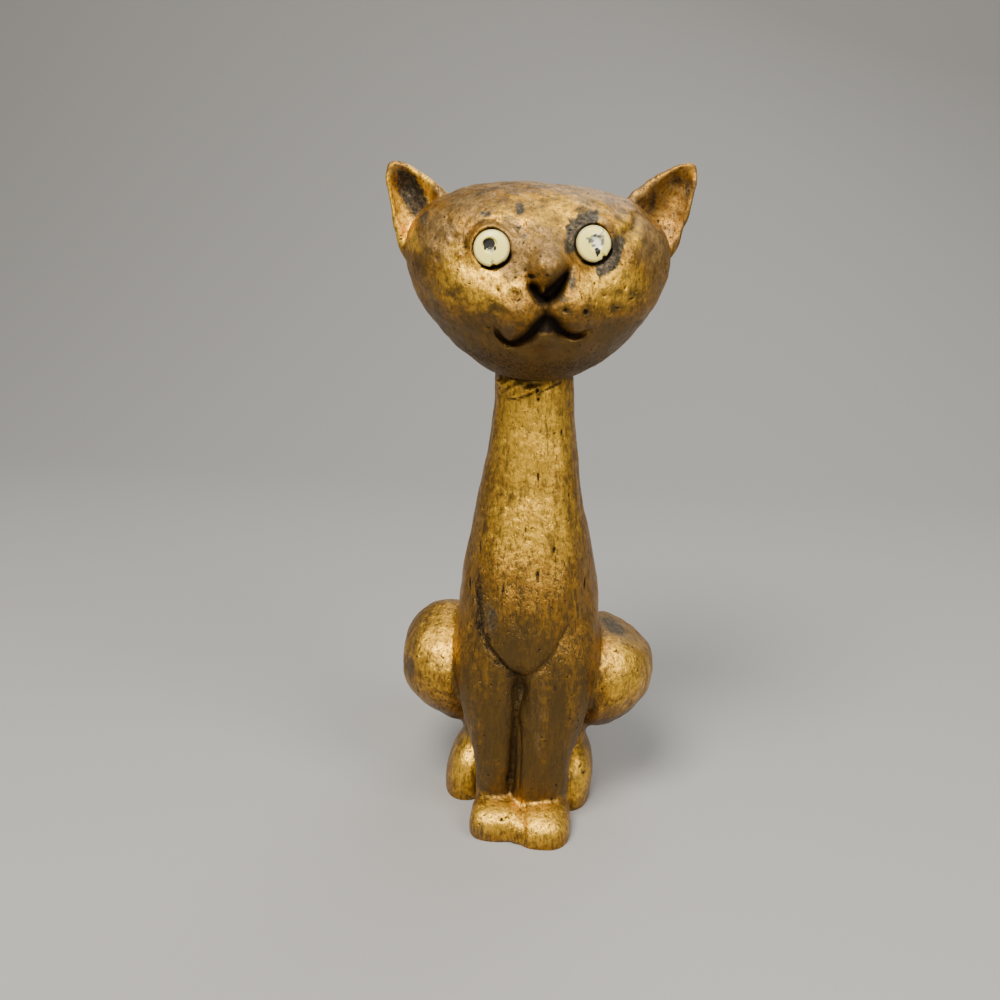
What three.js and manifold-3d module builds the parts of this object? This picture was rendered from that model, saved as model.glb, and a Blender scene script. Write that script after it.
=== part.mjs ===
// A seated long-necked cat, cast in brass and standing on its own flat sole.
//
// The body casting holds the neck, chest, front legs, paws, haunches, hind feet and tail. The head
// casting, with both ears, was made apart and brazed on the neck, turned a little to its left. Two
// enamelled discs are set in the face as eyes, each with a drilled pupil.
//
// Millimetres, +Z up. The cat looks along -Y, and the origin is on the sole under the neck's axis.
// The figure's free forms are given in hundredths of its height, so they keep their proportions. The
// height is that of the ear tips, of which the +X one stands a little higher. The cat was modelled by
// hand, so its two sides differ a little.
import * as THREE from "three";
import { mergeVertices } from "three/addons/utils/BufferGeometryUtils.js";
import Module from "manifold-3d";

const wasm = await Module();
wasm.setup();
const { abs, cos, exp, hypot, max, min, sign, sin, sqrt, tan, PI } = Math;
const { clamp, degToRad, smoothstep } = THREE.MathUtils;

// Driving sizes, in millimetres and degrees.
const FIGURE_HEIGHT = 200;
const JOINT_GAP = 0.3;
const NECK_SPIGOT = 2.4;
const HEAD_TURN = 7;
const HEAD_TILT = 1.7;
const EYE_DIAMETER = 9.8;
const EYE_EDGE_THICKNESS = 1.5;
const EYE_CROWN = 0.7;
const EYE_EDGE_RADIUS = 0.5;
const EYE_SEAT_DEPTH = 0.5;
const EYE_SEAT_CLEARANCE = 0.3;
const EYE_LAND = 0.7;
const PUPIL_DIAMETER = 4.2;
const PUPIL_DEPTH = 0.8;
const HUNDREDTH = FIGURE_HEIGHT / 100;

const CAST_BRASS = new THREE.MeshStandardMaterial({ color: 0xa87a2c, roughness: 0.42, metalness: 0.9 });
const CREAM_ENAMEL = new THREE.MeshStandardMaterial({ color: 0xe4dcae, roughness: 0.35, metalness: 0 });

// A smooth curve through rows of numbers: the row at place t, 0 at the first row and 1 at the last.
// Between two rows it is a cubic whose slope at each row points from the row before to the row after.
function along(rows, t) {
  const last = rows.length - 1;
  const at = clamp(t, 0, 1) * last;
  const i = min(Math.floor(at), last - 1);
  const s = at - i;
  return rows[i].map((start, k) => {
    const end = rows[i + 1][k];
    const leaving = i > 0 ? (end - rows[i - 1][k]) / 2 : end - start;
    const arriving = i + 2 <= last ? (rows[i + 2][k] - start) / 2 : end - start;
    const bend = (2 * (start - end) + leaving + arriving) * s ** 3;
    return bend + (3 * (end - start) - 2 * leaving - arriving) * s * s + leaving * s + start;
  });
}

// A round hill of height 1 at distance 0, falling to nothing at about twice its spread.
function hill(distance, spread) {
  return exp(-((distance / spread) ** 2));
}

// How far a point lies from a line through several points, and how far along that line it is, 0 to 1.
function nearLine(line, x, z) {
  let nearest = Infinity;
  let place = 0;
  for (let i = 0; i + 1 < line.length; i++) {
    const [ax, az] = line[i];
    const [bx, bz] = line[i + 1];
    const reach = (bx - ax) ** 2 + (bz - az) ** 2;
    const s = clamp(((x - ax) * (bx - ax) + (z - az) * (bz - az)) / reach, 0, 1);
    const gap = hypot(x - ax - s * (bx - ax), z - az - s * (bz - az));
    if (gap < nearest) {
      nearest = gap;
      place = (i + s) / (line.length - 1);
    }
  }
  return [nearest, place];
}

// A carved line: 1 along its middle, fading to nothing at its two ends and to its sides.
function stroke(line, x, z, spread) {
  const [gap, place] = nearLine(line, x, z);
  return hill(gap, spread) * smoothstep(min(place, 1 - place), -0.12, 0.14);
}

// A closed skin over rings of points that climb from a bottom point to a top point, each ring running
// counterclockwise as seen from the top. Points are in hundredths of the height.
function skin(bottom, rings, top) {
  const around = rings[0].length;
  const points = [bottom, ...rings.flat(), top].map((p) => p.clone().multiplyScalar(HUNDREDTH));
  const corner = (ring, i) => 1 + ring * around + (i % around);
  const peak = points.length - 1;
  const faces = [];
  for (let i = 0; i < around; i++) {
    faces.push(0, corner(0, i + 1), corner(0, i));
    for (let ring = 0; ring + 1 < rings.length; ring++) {
      faces.push(corner(ring, i), corner(ring, i + 1), corner(ring + 1, i + 1));
      faces.push(corner(ring, i), corner(ring + 1, i + 1), corner(ring + 1, i));
    }
    faces.push(peak, corner(rings.length - 1, i), corner(rings.length - 1, i + 1));
  }
  return new THREE.BufferGeometry().setFromPoints(points).setIndex(faces);
}

// The same skin seen in a mirror across the figure's middle plane.
function mirrored(geometry) {
  const copy = geometry.clone().scale(-1, 1, 1);
  const faces = copy.index.array;
  for (let i = 0; i < faces.length; i += 3) [faces[i], faces[i + 1]] = [faces[i + 1], faces[i]];
  return copy;
}

function solid(geometry) {
  const bare = geometry.clone();
  bare.deleteAttribute("normal");
  bare.deleteAttribute("uv");
  const merged = mergeVertices(bare, 1e-4);
  return new wasm.Manifold(
    new wasm.Mesh({
      numProp: 3,
      vertProperties: merged.attributes.position.array,
      triVerts: new Uint32Array(merged.index.array),
    }),
  );
}

function geometryOf(made) {
  const { vertProperties, triVerts } = made.getMesh();
  const geometry = new THREE.BufferGeometry();
  geometry.setAttribute("position", new THREE.BufferAttribute(vertProperties, 3));
  geometry.setIndex(new THREE.BufferAttribute(triVerts, 1));
  geometry.computeVertexNormals();
  return geometry;
}

function named(name, geometry, material) {
  const mesh = new THREE.Mesh(geometry, material);
  mesh.name = name;
  return mesh;
}

// Neck, chest and rump, from the sole to the neck's top, which stands in the head's socket. Each row is
// a level section: its height, its half width, and how far it reaches forward and back of the neck.
const CHIN = 69.2;
const NECK_TOP = CHIN + NECK_SPIGOT / HUNDREDTH;
const NECK_HALF_WIDTH = 5.75;
const TRUNK = [
  [0, 8.6, 3.0, 20.4],
  [1.6, 9.4, 3.4, 22.0],
  [5.2, 9.8, 4.2, 22.7],
  [11.2, 10.2, 5.6, 22.2],
  [17.2, 10.6, 7.8, 20.7],
  [21.6, 11.0, 10.4, 19.1],
  [24.6, 11.3, 12.2, 18.0],
  [27.4, 11.4, 13.0, 17.0],
  [30.6, 11.4, 13.2, 15.9],
  [34.8, 11.1, 12.5, 14.3],
  [40.0, 10.2, 11.2, 12.2],
  [47.0, 8.75, 9.2, 9.8],
  [55.0, 7.35, 7.5, 7.8],
  [63.0, 6.3, 6.3, 6.6],
  [NECK_TOP, NECK_HALF_WIDTH, NECK_HALF_WIDTH, NECK_HALF_WIDTH],
];

// The two front legs, made as one, with the shoulders that fade into the chest. Each row is a level
// section: its height, half width, its middle forward of the neck, its half depth, and the depth and
// spread of the V-shaped hollow in its front. Low down the hollow is the groove between the legs.
// Higher up it opens, and the chest stands in it as a wedge.
const LEGS_ASIDE = 0.3;
const FRONT_LEGS = [
  [0.6, 7.3, 9.2, 4.6, 2.2, 1.0],
  [5.0, 7.3, 9.0, 4.6, 2.2, 1.0],
  [9.6, 7.4, 8.8, 4.8, 2.2, 1.0],
  [13.4, 8.2, 8.2, 5.4, 2.2, 1.1],
  [17.6, 9.7, 7.0, 6.6, 2.2, 1.3],
  [21.4, 10.9, 5.4, 8.1, 2.1, 1.6],
  [24.6, 11.4, 3.8, 9.5, 1.5, 2.6],
  [27.6, 11.5, 2.2, 11.0, 1.7, 4.0],
  [31.0, 11.2, 0.8, 11.8, 2.4, 4.8],
  [34.8, 10.6, 0, 11.3, 3.2, 6.2],
  [39.0, 9.6, 0, 9.8, 3.2, 7.0],
];

// A level section, an oval in front of its axis and another oval behind it. A squareness below 1
// fills out its corners.
function levelRing([z, halfWidth, front, back], around, squareness = 1) {
  const filled = (v) => sign(v) * abs(v) ** squareness;
  return Array.from({ length: around }, (_, i) => {
    const turn = (2 * PI * i) / around;
    const reach = filled(cos(turn));
    return new THREE.Vector3(halfWidth * filled(sin(turn)), reach > 0 ? -front * reach : -back * reach, z);
  });
}

// The sections of a list of rows, spaced evenly along them, each made by a function of its row.
function sections(rows, levels, section) {
  return Array.from({ length: levels }, (_, i) => section(along(rows, i / (levels - 1))));
}

function trunkSkin(around, levels) {
  const rings = sections(TRUNK, levels, (row) => levelRing(row, around));
  const middle = ([z, , front, back]) => new THREE.Vector3(0, (back - front) / 2, z);
  return skin(middle(TRUNK[0]), rings, middle(TRUNK.at(-1)));
}

function frontLegsSkin(around, levels) {
  const squareness = 0.8;
  const rings = sections(FRONT_LEGS, levels, ([z, halfWidth, forward, halfDepth, hollow, spread]) => {
    const ring = levelRing([z, halfWidth, halfDepth, halfDepth], around, squareness);
    for (const p of ring) {
      if (p.y < 0) p.y += hollow * exp(-abs(p.x) / spread);
      p.y -= forward;
      p.x += LEGS_ASIDE;
    }
    return ring;
  });
  const middle = ([z, , forward]) => new THREE.Vector3(LEGS_ASIDE, -forward, z);
  return skin(middle(FRONT_LEGS[0]), rings, middle(FRONT_LEGS.at(-1)));
}

// An egg: a ball drawn out to three half sizes, with filled-out corners and a narrow lower end, turned
// and set in its place. A facet is a flat worn on it, square to a direction, at a distance from its
// middle.
function egg({ middle, half, squareness = 1, narrowing = 0, turn = [0, 0, 0], facet }, around, levels) {
  const ball = new THREE.SphereGeometry(1, around, levels).rotateX(PI / 2);
  const at = ball.attributes.position;
  const filled = (v) => sign(v) * abs(v) ** squareness;
  for (let i = 0; i < at.count; i++) {
    const narrow = 1 - narrowing * max(0, -at.getZ(i)) ** 1.5;
    at.setXYZ(i, filled(at.getX(i)) * narrow, filled(at.getY(i)) * narrow, filled(at.getZ(i)));
  }
  ball.scale(...half);
  ball.rotateX(degToRad(turn[0])).rotateY(degToRad(turn[1])).rotateZ(degToRad(turn[2]));
  if (facet) {
    const outward = new THREE.Vector3(...facet.outward).normalize();
    const p = new THREE.Vector3();
    for (let i = 0; i < at.count; i++) {
      p.fromBufferAttribute(at, i);
      p.addScaledVector(outward, min(0, facet.distance - p.dot(outward)));
      at.setXYZ(i, p.x, p.y, p.z);
    }
  }
  return ball.translate(...middle).scale(HUNDREDTH, HUNDREDTH, HUNDREDTH);
}

// Paws, hind feet and haunches, each on the -X side and then on the +X side. The +X haunch has a flat
// on its top.
const PAWS = [
  { middle: [-3.2, -12.5, 1.2], half: [4.25, 4.8, 4.0], squareness: 0.72, turn: [7, 0, 0] },
  { middle: [4.1, -12.9, 1.0], half: [4.2, 5.8, 4.0], squareness: 0.72, turn: [7, 0, 0] },
];
const HIND_FEET = [
  { middle: [-9.0, 1.4, 2.4], half: [3.9, 7.4, 7.4], squareness: 0.9, turn: [0, 8, 0] },
  { middle: [7.9, 0.6, 2.6], half: [3.5, 8.0, 7.4], squareness: 0.9, turn: [0, 3, 0] },
];
const HAUNCHES = [
  { middle: [-12.2, 4.5, 20.3], half: [8.1, 12.4, 10.2], narrowing: 0.26, turn: [-12, -20, 0] },
  {
    middle: [12.3, 4.5, 20.0],
    half: [8.1, 12.4, 9.8],
    narrowing: 0.3,
    turn: [-12, 16, 0],
    facet: { outward: [0.5, 0.12, 0.86], distance: 7.2 },
  },
];

// Tail: a tapering roll on the sole behind the rump, from the rump's middle round to the -X side.
// Each row is a point of its middle line and its radius there.
const TAIL = [
  [3.5, 17.0, 6.5, 3.4],
  [4.5, 22.2, 3.6, 3.2],
  [0.5, 24.6, 2.7, 3.0],
  [-4.6, 24.2, 2.5, 2.8],
  [-8.6, 21.0, 2.3, 2.4],
  [-9.6, 18.0, 2.0, 1.8],
];

function tailSkin(around, steps) {
  const centre = (t) => new THREE.Vector3(...along(TAIL, t));
  const up = new THREE.Vector3(0, 0, 1);
  const rings = Array.from({ length: steps }, (_, k) => {
    const t = k / (steps - 1);
    const ahead = centre(min(t + 0.01, 1)).sub(centre(max(t - 0.01, 0))).normalize();
    const across = new THREE.Vector3().crossVectors(up, ahead).normalize();
    const over = new THREE.Vector3().crossVectors(ahead, across);
    const radius = along(TAIL, t)[3];
    return Array.from({ length: around }, (_, i) => {
      const turn = (2 * PI * i) / around;
      const p = centre(t).addScaledVector(across, radius * cos(turn));
      return p.addScaledVector(over, radius * sin(turn));
    });
  });
  const tip = centre(1).add(centre(1).sub(centre(0.96)).normalize().multiplyScalar(TAIL.at(-1)[3] * 0.7));
  return skin(centre(0), rings, tip);
}

function bodyGeometry() {
  const lobes = [
    ...PAWS.map((paw) => egg(paw, 16, 10)),
    ...HIND_FEET.map((foot) => egg(foot, 14, 9)),
    ...HAUNCHES.map((haunch) => egg(haunch, 18, 12)),
  ];
  const forms = [trunkSkin(28, 20), frontLegsSkin(32, 16), tailSkin(12, 10), ...lobes].map(solid);
  const ground = new THREE.BoxGeometry(FIGURE_HEIGHT, FIGURE_HEIGHT, FIGURE_HEIGHT);
  const body = forms.reduce((a, b) => a.add(b));
  return geometryOf(body.subtract(solid(ground.translate(0, 0, -FIGURE_HEIGHT / 2))));
}

// Head, in its own frame with the neck's axis at X 0, Y 0. Rows as for the trunk: height, half width,
// reach forward and back, from under the chin to the crown.
const HEAD = [
  [69.4, 4.2, 6.2, 4.2],
  [70.2, 6.9, 9.0, 6.7],
  [71.7, 9.3, 11.1, 9.1],
  [73.7, 12.0, 12.9, 11.4],
  [76.3, 14.5, 14.2, 13.4],
  [79.3, 16.8, 15.1, 14.9],
  [82.3, 18.3, 15.5, 15.7],
  [85.3, 19.2, 15.5, 15.9],
  [88.4, 19.3, 15.0, 15.7],
  [91.4, 18.1, 13.6, 14.5],
  [93.9, 15.4, 11.4, 12.4],
  [95.7, 12.0, 8.6, 9.3],
  [96.9, 6.8, 4.9, 5.6],
];
const CROWN = 97.3;

// The face's features, as across and up on the head's front: each eye's middle with the angle that its
// axis turns outward, then lines of points.
const EYES = [
  { name: "eye_right", x: -7.2, z: 88.3, out: -12 },
  { name: "eye_left", x: 6.4, z: 89.6, out: 12 },
];
const EYE_LIFT = 9;
const NOSE = [0.1, 86.3];
const MUZZLE = [[-3.3, 80.2], [4.0, 81.0]];
const MOUTH = [[-6.4, 77.7], [-5.5, 76.4], [-3.9, 75.6], [-1.9, 77], [0.5, 79.3], [2.8, 77.8], [4.9, 77.2], [6.6, 78]];
const UNDER_NOSE = [[-2.1, 84.3], [0.1, 82.2], [3.3, 86.3]];
const PHILTRUM = [[0.2, 82.4], [0.5, 79.6]];
const LOWER_LIP = [0.6, 76.9];
const CHEEKS = 10.5;
const BROWS = 6.8;

// How far the carved face stands out of the plain head at a point of its front.
function faceRelief(x, z) {
  const from = ([placeX, placeZ]) => hypot(x - placeX, z - placeZ);
  let out = 0;
  out += 2.3 * hill(from(NOSE), 3.0);
  out += 1.2 * hill(x - NOSE[0], 2.8) * smoothstep(z, 83, 87) * (1 - smoothstep(z, 87, 94));
  for (const pad of MUZZLE) out += 2.8 * hill(from(pad), 3.4);
  out += 1.5 * hill(from(LOWER_LIP), 2.0);
  out += 0.9 * hill(hypot(abs(x) - CHEEKS, z - 82), 5);
  out += 0.8 * hill(hypot((abs(x) - BROWS) * 0.55, z - 93), 2.2);
  out -= 1.6 * stroke(MOUTH, x, z, 0.95);
  out -= 1.8 * stroke(UNDER_NOSE, x, z, 1.0);
  out -= 0.9 * stroke(PHILTRUM, x, z, 0.8);
  for (const eye of EYES) out -= 0.7 * hill(hypot(x - eye.x, z - eye.z), 3.8);
  return out;
}

// How far forward the plain head reaches at a point of its front.
function plainFront(x, z) {
  let [low, high] = [0, 1];
  for (let i = 0; i < 24; i++) {
    const middle = (low + high) / 2;
    if (along(HEAD, middle)[0] < z) low = middle;
    else high = middle;
  }
  const [, halfWidth, front] = along(HEAD, low);
  return front * sqrt(max(0, 1 - (x / halfWidth) ** 2));
}

// Round each eye the head's front is dressed flat, square to the eye's own axis, to carry the disc.
function dressed(y, x, z) {
  const rim = (EYE_DIAMETER / 2 + EYE_LAND) / HUNDREDTH;
  for (const eye of EYES) {
    const across = (x - eye.x) * tan(degToRad(eye.out));
    const up = ((z - eye.z) * tan(degToRad(EYE_LIFT))) / cos(degToRad(eye.out));
    const flat = across + up - plainFront(eye.x, eye.z);
    y += (flat - y) * (1 - smoothstep(hypot(x - eye.x, z - eye.z), rim, 1.35 * rim));
  }
  return y;
}

// Evens out a share of a round, so that its middle has more than its part of the steps.
const gathered = (s, crowd) => s - (crowd * sin(2 * PI * s)) / (2 * PI);

function headSkin(around, levels) {
  const rings = Array.from({ length: levels }, (_, i) => {
    const [z, halfWidth, front, back] = along(HEAD, gathered(i / (levels - 1), -0.5));
    return Array.from({ length: around }, (_, k) => {
      const turn = 2 * PI * gathered(k / around, 0.74);
      const x = halfWidth * sin(turn);
      const facing = cos(turn);
      if (facing <= 0) return new THREE.Vector3(x, -back * facing, z);
      const y = -front * facing - faceRelief(x, z) * smoothstep(facing, 0.1, 0.6);
      return new THREE.Vector3(x, dressed(y, x, z), z);
    });
  });
  return skin(new THREE.Vector3(0, 0, CHIN), rings, new THREE.Vector3(0, 0, CROWN));
}

// Ears, leaves that stand in the plane across the head, on the -X side and then on the +X side. An
// ear's root line runs down the head's side. Its rows climb from inside the head to the tip: height
// over the root line, half width along it, the middle's shift up along it, and the back's thickness.
const EARS = [
  { side: -1, root: [16.6, 1.2, 90.2], lean: 36, reach: 1 },
  { side: 1, root: [16.7, 1.2, 92.0], lean: 39, reach: 1.04 },
];
const EAR_ROWS = [
  [-4.5, 6.0, -0.6, 3.6],
  [0, 5.5, 0.2, 3.2],
  [3.2, 4.6, 1.2, 2.6],
  [6.0, 3.2, 2.3, 2.0],
  [8.0, 2.0, 3.0, 1.5],
  [9.2, 0.9, 3.4, 0.8],
];
const EAR_RIM = 1.2;
const EAR_HOLLOW = 2.5;

function earSkin(ear, around, levels) {
  const lean = degToRad(ear.lean);
  const rise = new THREE.Vector3(cos(lean), 0, sin(lean));
  const up = new THREE.Vector3(-sin(lean), 0, cos(lean));
  const place = (height, shift, back) => {
    const p = new THREE.Vector3(...ear.root).addScaledVector(rise, ear.reach * height);
    return p.addScaledVector(up, shift).setY(ear.root[1] + back);
  };
  const rings = sections(EAR_ROWS, levels, ([height, halfWidth, shift, back]) =>
    Array.from({ length: around }, (_, k) => {
      const side = cos((2 * PI * k) / around);
      const facing = sin((2 * PI * k) / around);
      const rim = EAR_RIM * abs(facing) ** 0.6 * min(1, halfWidth / 2);
      const hollow = EAR_HOLLOW * max(0, 1 - (side / 0.8) ** 2) * smoothstep(halfWidth, 0.6, 4);
      return place(height, shift + halfWidth * side, facing > 0 ? -rim + hollow : back * abs(facing));
    }),
  );
  const [height, , shift] = EAR_ROWS.at(-1);
  const leaf = skin(place(EAR_ROWS[0][0], EAR_ROWS[0][2], 0), rings, place(height + 0.4, shift, 0.2));
  return ear.side < 0 ? mirrored(leaf) : leaf;
}

// The eye's own frame has its axis along +Z, out of the face, with its back at Z 0.
function eyeProfile() {
  const rim = EYE_DIAMETER / 2;
  const pupil = PUPIL_DIAMETER / 2;
  const crownAt = (r) => EYE_EDGE_THICKNESS + EYE_CROWN * (1 - (r / rim) ** 2);
  const edge = Array.from({ length: 3 }, (_, i) => {
    const turn = (i / 2) * (PI / 2);
    const r = rim - EYE_EDGE_RADIUS * (1 - cos(turn));
    return new THREE.Vector2(r, EYE_EDGE_THICKNESS - EYE_EDGE_RADIUS * (1 - sin(turn)));
  });
  const middle = (rim + pupil) / 2;
  return [
    new THREE.Vector2(0, 0),
    new THREE.Vector2(rim, 0),
    ...edge,
    new THREE.Vector2(middle, crownAt(middle)),
    new THREE.Vector2(pupil, crownAt(pupil)),
    new THREE.Vector2(pupil - 0.25, crownAt(pupil) - PUPIL_DEPTH),
    new THREE.Vector2(0, crownAt(pupil) - PUPIL_DEPTH),
  ];
}

// Puts a thing made along +Z on an eye's place on the face, sunk by a depth.
function onFace(object, eye, depth) {
  object.rotation.set(PI / 2 - degToRad(EYE_LIFT), 0, degToRad(eye.out), "ZYX");
  object.position.set(eye.x, -plainFront(eye.x, eye.z), eye.z).multiplyScalar(HUNDREDTH);
  object.translateZ(-depth);
  object.updateMatrix();
  return object;
}

// Cuts an eye's seat: a round well as wide as the disc and its clearance.
function eyeSeat(eye) {
  const radius = EYE_DIAMETER / 2 + EYE_SEAT_CLEARANCE;
  const length = EYE_DIAMETER / 2;
  const well = new THREE.CylinderGeometry(radius, radius, length, 24).rotateX(PI / 2);
  well.translate(0, 0, length / 2);
  const placed = onFace(new THREE.Object3D(), eye, EYE_SEAT_DEPTH + JOINT_GAP);
  return solid(well.applyMatrix4(placed.matrix));
}

// The head turns about the neck's axis and tilts about a point in its own middle.
const headGroup = new THREE.Group();
const headMiddle = new THREE.Vector3(0, 0, 83 * HUNDREDTH);
headGroup.rotation.set(0, degToRad(HEAD_TILT), degToRad(HEAD_TURN), "ZYX");
headGroup.position.copy(headMiddle).sub(headMiddle.clone().applyEuler(headGroup.rotation));
headGroup.updateMatrix();

// The socket under the head takes the neck's top, with the joint's gap all round.
function neckSocket() {
  const radius = NECK_HALF_WIDTH * HUNDREDTH + JOINT_GAP;
  const length = NECK_SPIGOT + 2 * NECK_HALF_WIDTH;
  const socket = new THREE.CylinderGeometry(radius, radius, length, 30).rotateX(PI / 2);
  socket.translate(0, 0, NECK_TOP * HUNDREDTH + JOINT_GAP - length / 2);
  return solid(socket.applyMatrix4(headGroup.matrix.clone().invert()));
}

function headGeometry() {
  let head = solid(headSkin(56, 35));
  for (const ear of EARS) head = head.add(solid(earSkin(ear, 16, 9)));
  for (const eye of EYES) head = head.subtract(eyeSeat(eye));
  return geometryOf(head.subtract(neckSocket()));
}

const cat = new THREE.Group();
cat.add(named("body_casting", bodyGeometry(), CAST_BRASS));
headGroup.add(named("head_casting", headGeometry(), CAST_BRASS));
for (const eye of EYES) {
  const disc = new THREE.LatheGeometry(eyeProfile(), 20).rotateX(PI / 2);
  headGroup.add(onFace(named(eye.name, disc, CREAM_ENAMEL), eye, EYE_SEAT_DEPTH));
}
cat.add(headGroup);

export default cat;
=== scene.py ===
import math

import bpy
import numpy as np
from mathutils import Matrix, Vector


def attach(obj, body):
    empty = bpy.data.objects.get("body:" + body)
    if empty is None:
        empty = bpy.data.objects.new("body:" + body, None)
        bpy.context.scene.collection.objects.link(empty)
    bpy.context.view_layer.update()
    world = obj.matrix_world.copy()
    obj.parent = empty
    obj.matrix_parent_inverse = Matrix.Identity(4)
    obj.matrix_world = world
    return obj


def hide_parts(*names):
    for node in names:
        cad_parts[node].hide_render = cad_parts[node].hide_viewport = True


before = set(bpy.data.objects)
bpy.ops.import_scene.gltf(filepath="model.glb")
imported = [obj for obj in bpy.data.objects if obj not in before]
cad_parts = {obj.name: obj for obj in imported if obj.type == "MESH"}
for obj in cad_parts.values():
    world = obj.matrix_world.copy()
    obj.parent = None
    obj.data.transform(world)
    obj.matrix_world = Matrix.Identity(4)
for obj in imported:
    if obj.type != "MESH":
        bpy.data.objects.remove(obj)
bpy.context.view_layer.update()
collection = bpy.context.scene.collection

# The stage: a plain pale surface that sweeps up behind the cat, soft studio lights, and the camera
# where the photographer held it, a third of a metre off, near the height of the cat's head.
CAMERA_DISTANCE = 0.3333
CAMERA_HEIGHT = 0.1919
CAMERA_AZIMUTH = 3.5
CAMERA_DOWN = 15.5
CAMERA_ROLL = 1.6
CAMERA_LENS = 40.0
CAMERA_FILM = 36.0
CAMERA_SHIFT = -0.031
PAPER = (0.31, 0.305, 0.295, 1)
SKY = (0.62, 0.62, 0.62, 1)
SKY_STRENGTH = 0.32


def sweep_mesh(name, half_width, near, far, rise, bend):
    """A floor that runs from near to far, turns up on a quarter circle of radius bend and climbs to
    rise, drawn sideways from -half_width to half_width."""
    turn = np.linspace(0, math.pi / 2, 24)
    y = np.concatenate([[near, far - bend], far - bend + bend * np.sin(turn[1:]), [far]])
    z = np.concatenate([[0, 0], bend - bend * np.cos(turn[1:]), [rise]])
    x = np.array([-half_width, half_width])
    points = np.stack([np.tile(x, len(y)), np.repeat(y, 2), np.repeat(z, 2)], axis=1)
    k = np.arange(len(y) - 1) * 2
    quads = np.stack([k, k + 1, k + 3, k + 2], axis=1)
    mesh = bpy.data.meshes.new(name)
    mesh.from_pydata(points.tolist(), [], quads.tolist())
    mesh.shade_smooth()
    return mesh


def lamp(name, place, aim, width, power, colour=(1.0, 1.0, 1.0)):
    """A square soft light at a place, turned to face a point."""
    light = bpy.data.lights.new(name, "AREA")
    light.size = width
    light.energy = power
    light.color = colour
    holder = bpy.data.objects.new(name, light)
    holder.location = place
    holder.rotation_euler = (Vector(aim) - Vector(place)).to_track_quat("-Z", "Y").to_euler()
    collection.objects.link(holder)


sweep = bpy.data.objects.new("backdrop", sweep_mesh("backdrop", 1.6, -1.2, 0.9, 1.6, 0.5))
collection.objects.link(sweep)
paper = bpy.data.materials.new("backdrop_paper")
paper.use_nodes = True
paper_shader = paper.node_tree.nodes["Principled BSDF"].inputs
paper_shader["Base Color"].default_value = PAPER
paper_shader["Roughness"].default_value = 0.9
sweep.data.materials.append(paper)

lamp("key_light", (-0.22, -0.5, 0.85), (0, 0, 0.1), 0.42, 17.0, (1.0, 0.95, 0.87))
lamp("fill_light", (0.5, -0.4, 0.62), (0, 0, 0.1), 0.4, 5.0, (1.0, 0.97, 0.93))
lamp("back_light", (0.2, 0.5, 0.7), (0, 0, 0.12), 0.5, 3.0)

world = bpy.data.worlds.new("studio")
world.use_nodes = True
sky = world.node_tree.nodes["Background"].inputs
sky["Color"].default_value = SKY
sky["Strength"].default_value = SKY_STRENGTH
bpy.context.scene.world = world

camera_data = bpy.data.cameras.new("camera")
camera_data.sensor_width = CAMERA_FILM
camera_data.lens = CAMERA_LENS
camera_data.shift_x = CAMERA_SHIFT
camera_data.clip_start = 0.01
camera = bpy.data.objects.new("camera", camera_data)
azimuth = math.radians(CAMERA_AZIMUTH)
aside, back = CAMERA_DISTANCE * math.sin(azimuth), CAMERA_DISTANCE * math.cos(azimuth)
camera.matrix_world = (
    Matrix.Translation((aside, -back, CAMERA_HEIGHT))
    @ Matrix.Rotation(azimuth, 4, "Z")
    @ Matrix.Rotation(math.radians(90 - CAMERA_DOWN), 4, "X")
    @ Matrix.Rotation(math.radians(CAMERA_ROLL), 4, "Z")
)
collection.objects.link(camera)
bpy.context.scene.camera = camera

# Body: neck, chest, front legs, paws, haunches, hind feet, rump and tail, one hollow brass casting
# modelled by hand in clay or wax, so its two sides differ a little. Its forms are given in hundredths
# of the figure's height, which is 200 mm to the ear tips.
HUNDREDTH = 0.002
NECK_TOP = 70.4
NECK_HALF_WIDTH = 5.75
# Height, half width, reach forward, reach back.
TRUNK = [
    [0, 8.6, 3, 20.4], [1.6, 9.4, 3.4, 22], [5.2, 9.8, 4.2, 22.7], [11.2, 10.2, 5.6, 22.2],
    [17.2, 10.6, 7.8, 20.7], [21.6, 11, 10.4, 19.1], [24.6, 11.3, 12.2, 18], [27.4, 11.4, 13, 17],
    [30.6, 11.4, 13.2, 15.9], [34.8, 11.1, 12.5, 14.3], [40, 10.2, 11.2, 12.2], [47, 8.75, 9.2, 9.8],
    [55, 7.35, 7.5, 7.8], [63, 6.3, 6.3, 6.6],
    [NECK_TOP, NECK_HALF_WIDTH, NECK_HALF_WIDTH, NECK_HALF_WIDTH],
]
# Height, half width, middle forward of the neck, half depth, depth and spread of the hollow in front.
FRONT_LEGS = [
    [0.6, 7.3, 9.2, 4.6, 2.2, 1], [5, 7.3, 9, 4.6, 2.2, 1], [9.6, 7.4, 8.8, 4.8, 2.2, 1],
    [13.4, 8.2, 8.2, 5.4, 2.2, 1.1], [17.6, 9.7, 7, 6.6, 2.2, 1.3], [21.4, 10.9, 5.4, 8.1, 2.1, 1.6],
    [24.6, 11.4, 3.8, 9.5, 1.5, 2.6], [27.6, 11.5, 2.2, 11, 1.7, 4], [31, 11.2, 0.8, 11.8, 2.4, 4.8],
    [34.8, 10.6, 0, 11.3, 3.2, 6.2], [39, 9.6, 0, 9.8, 3.2, 7],
]
LEGS_ASIDE = 0.3
# Heights, and the middle of the hollow there.
LEG_HOLLOW_MIDDLE = ([5.2, 10, 16, 21, 25.4, 31], [-1.25, -1, -0.8, -0.5, -0.1, 0.3])
LEG_SQUARENESS = 0.8
# How soft the edge of a facet is.
FACET_EDGE = 0.8
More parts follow.
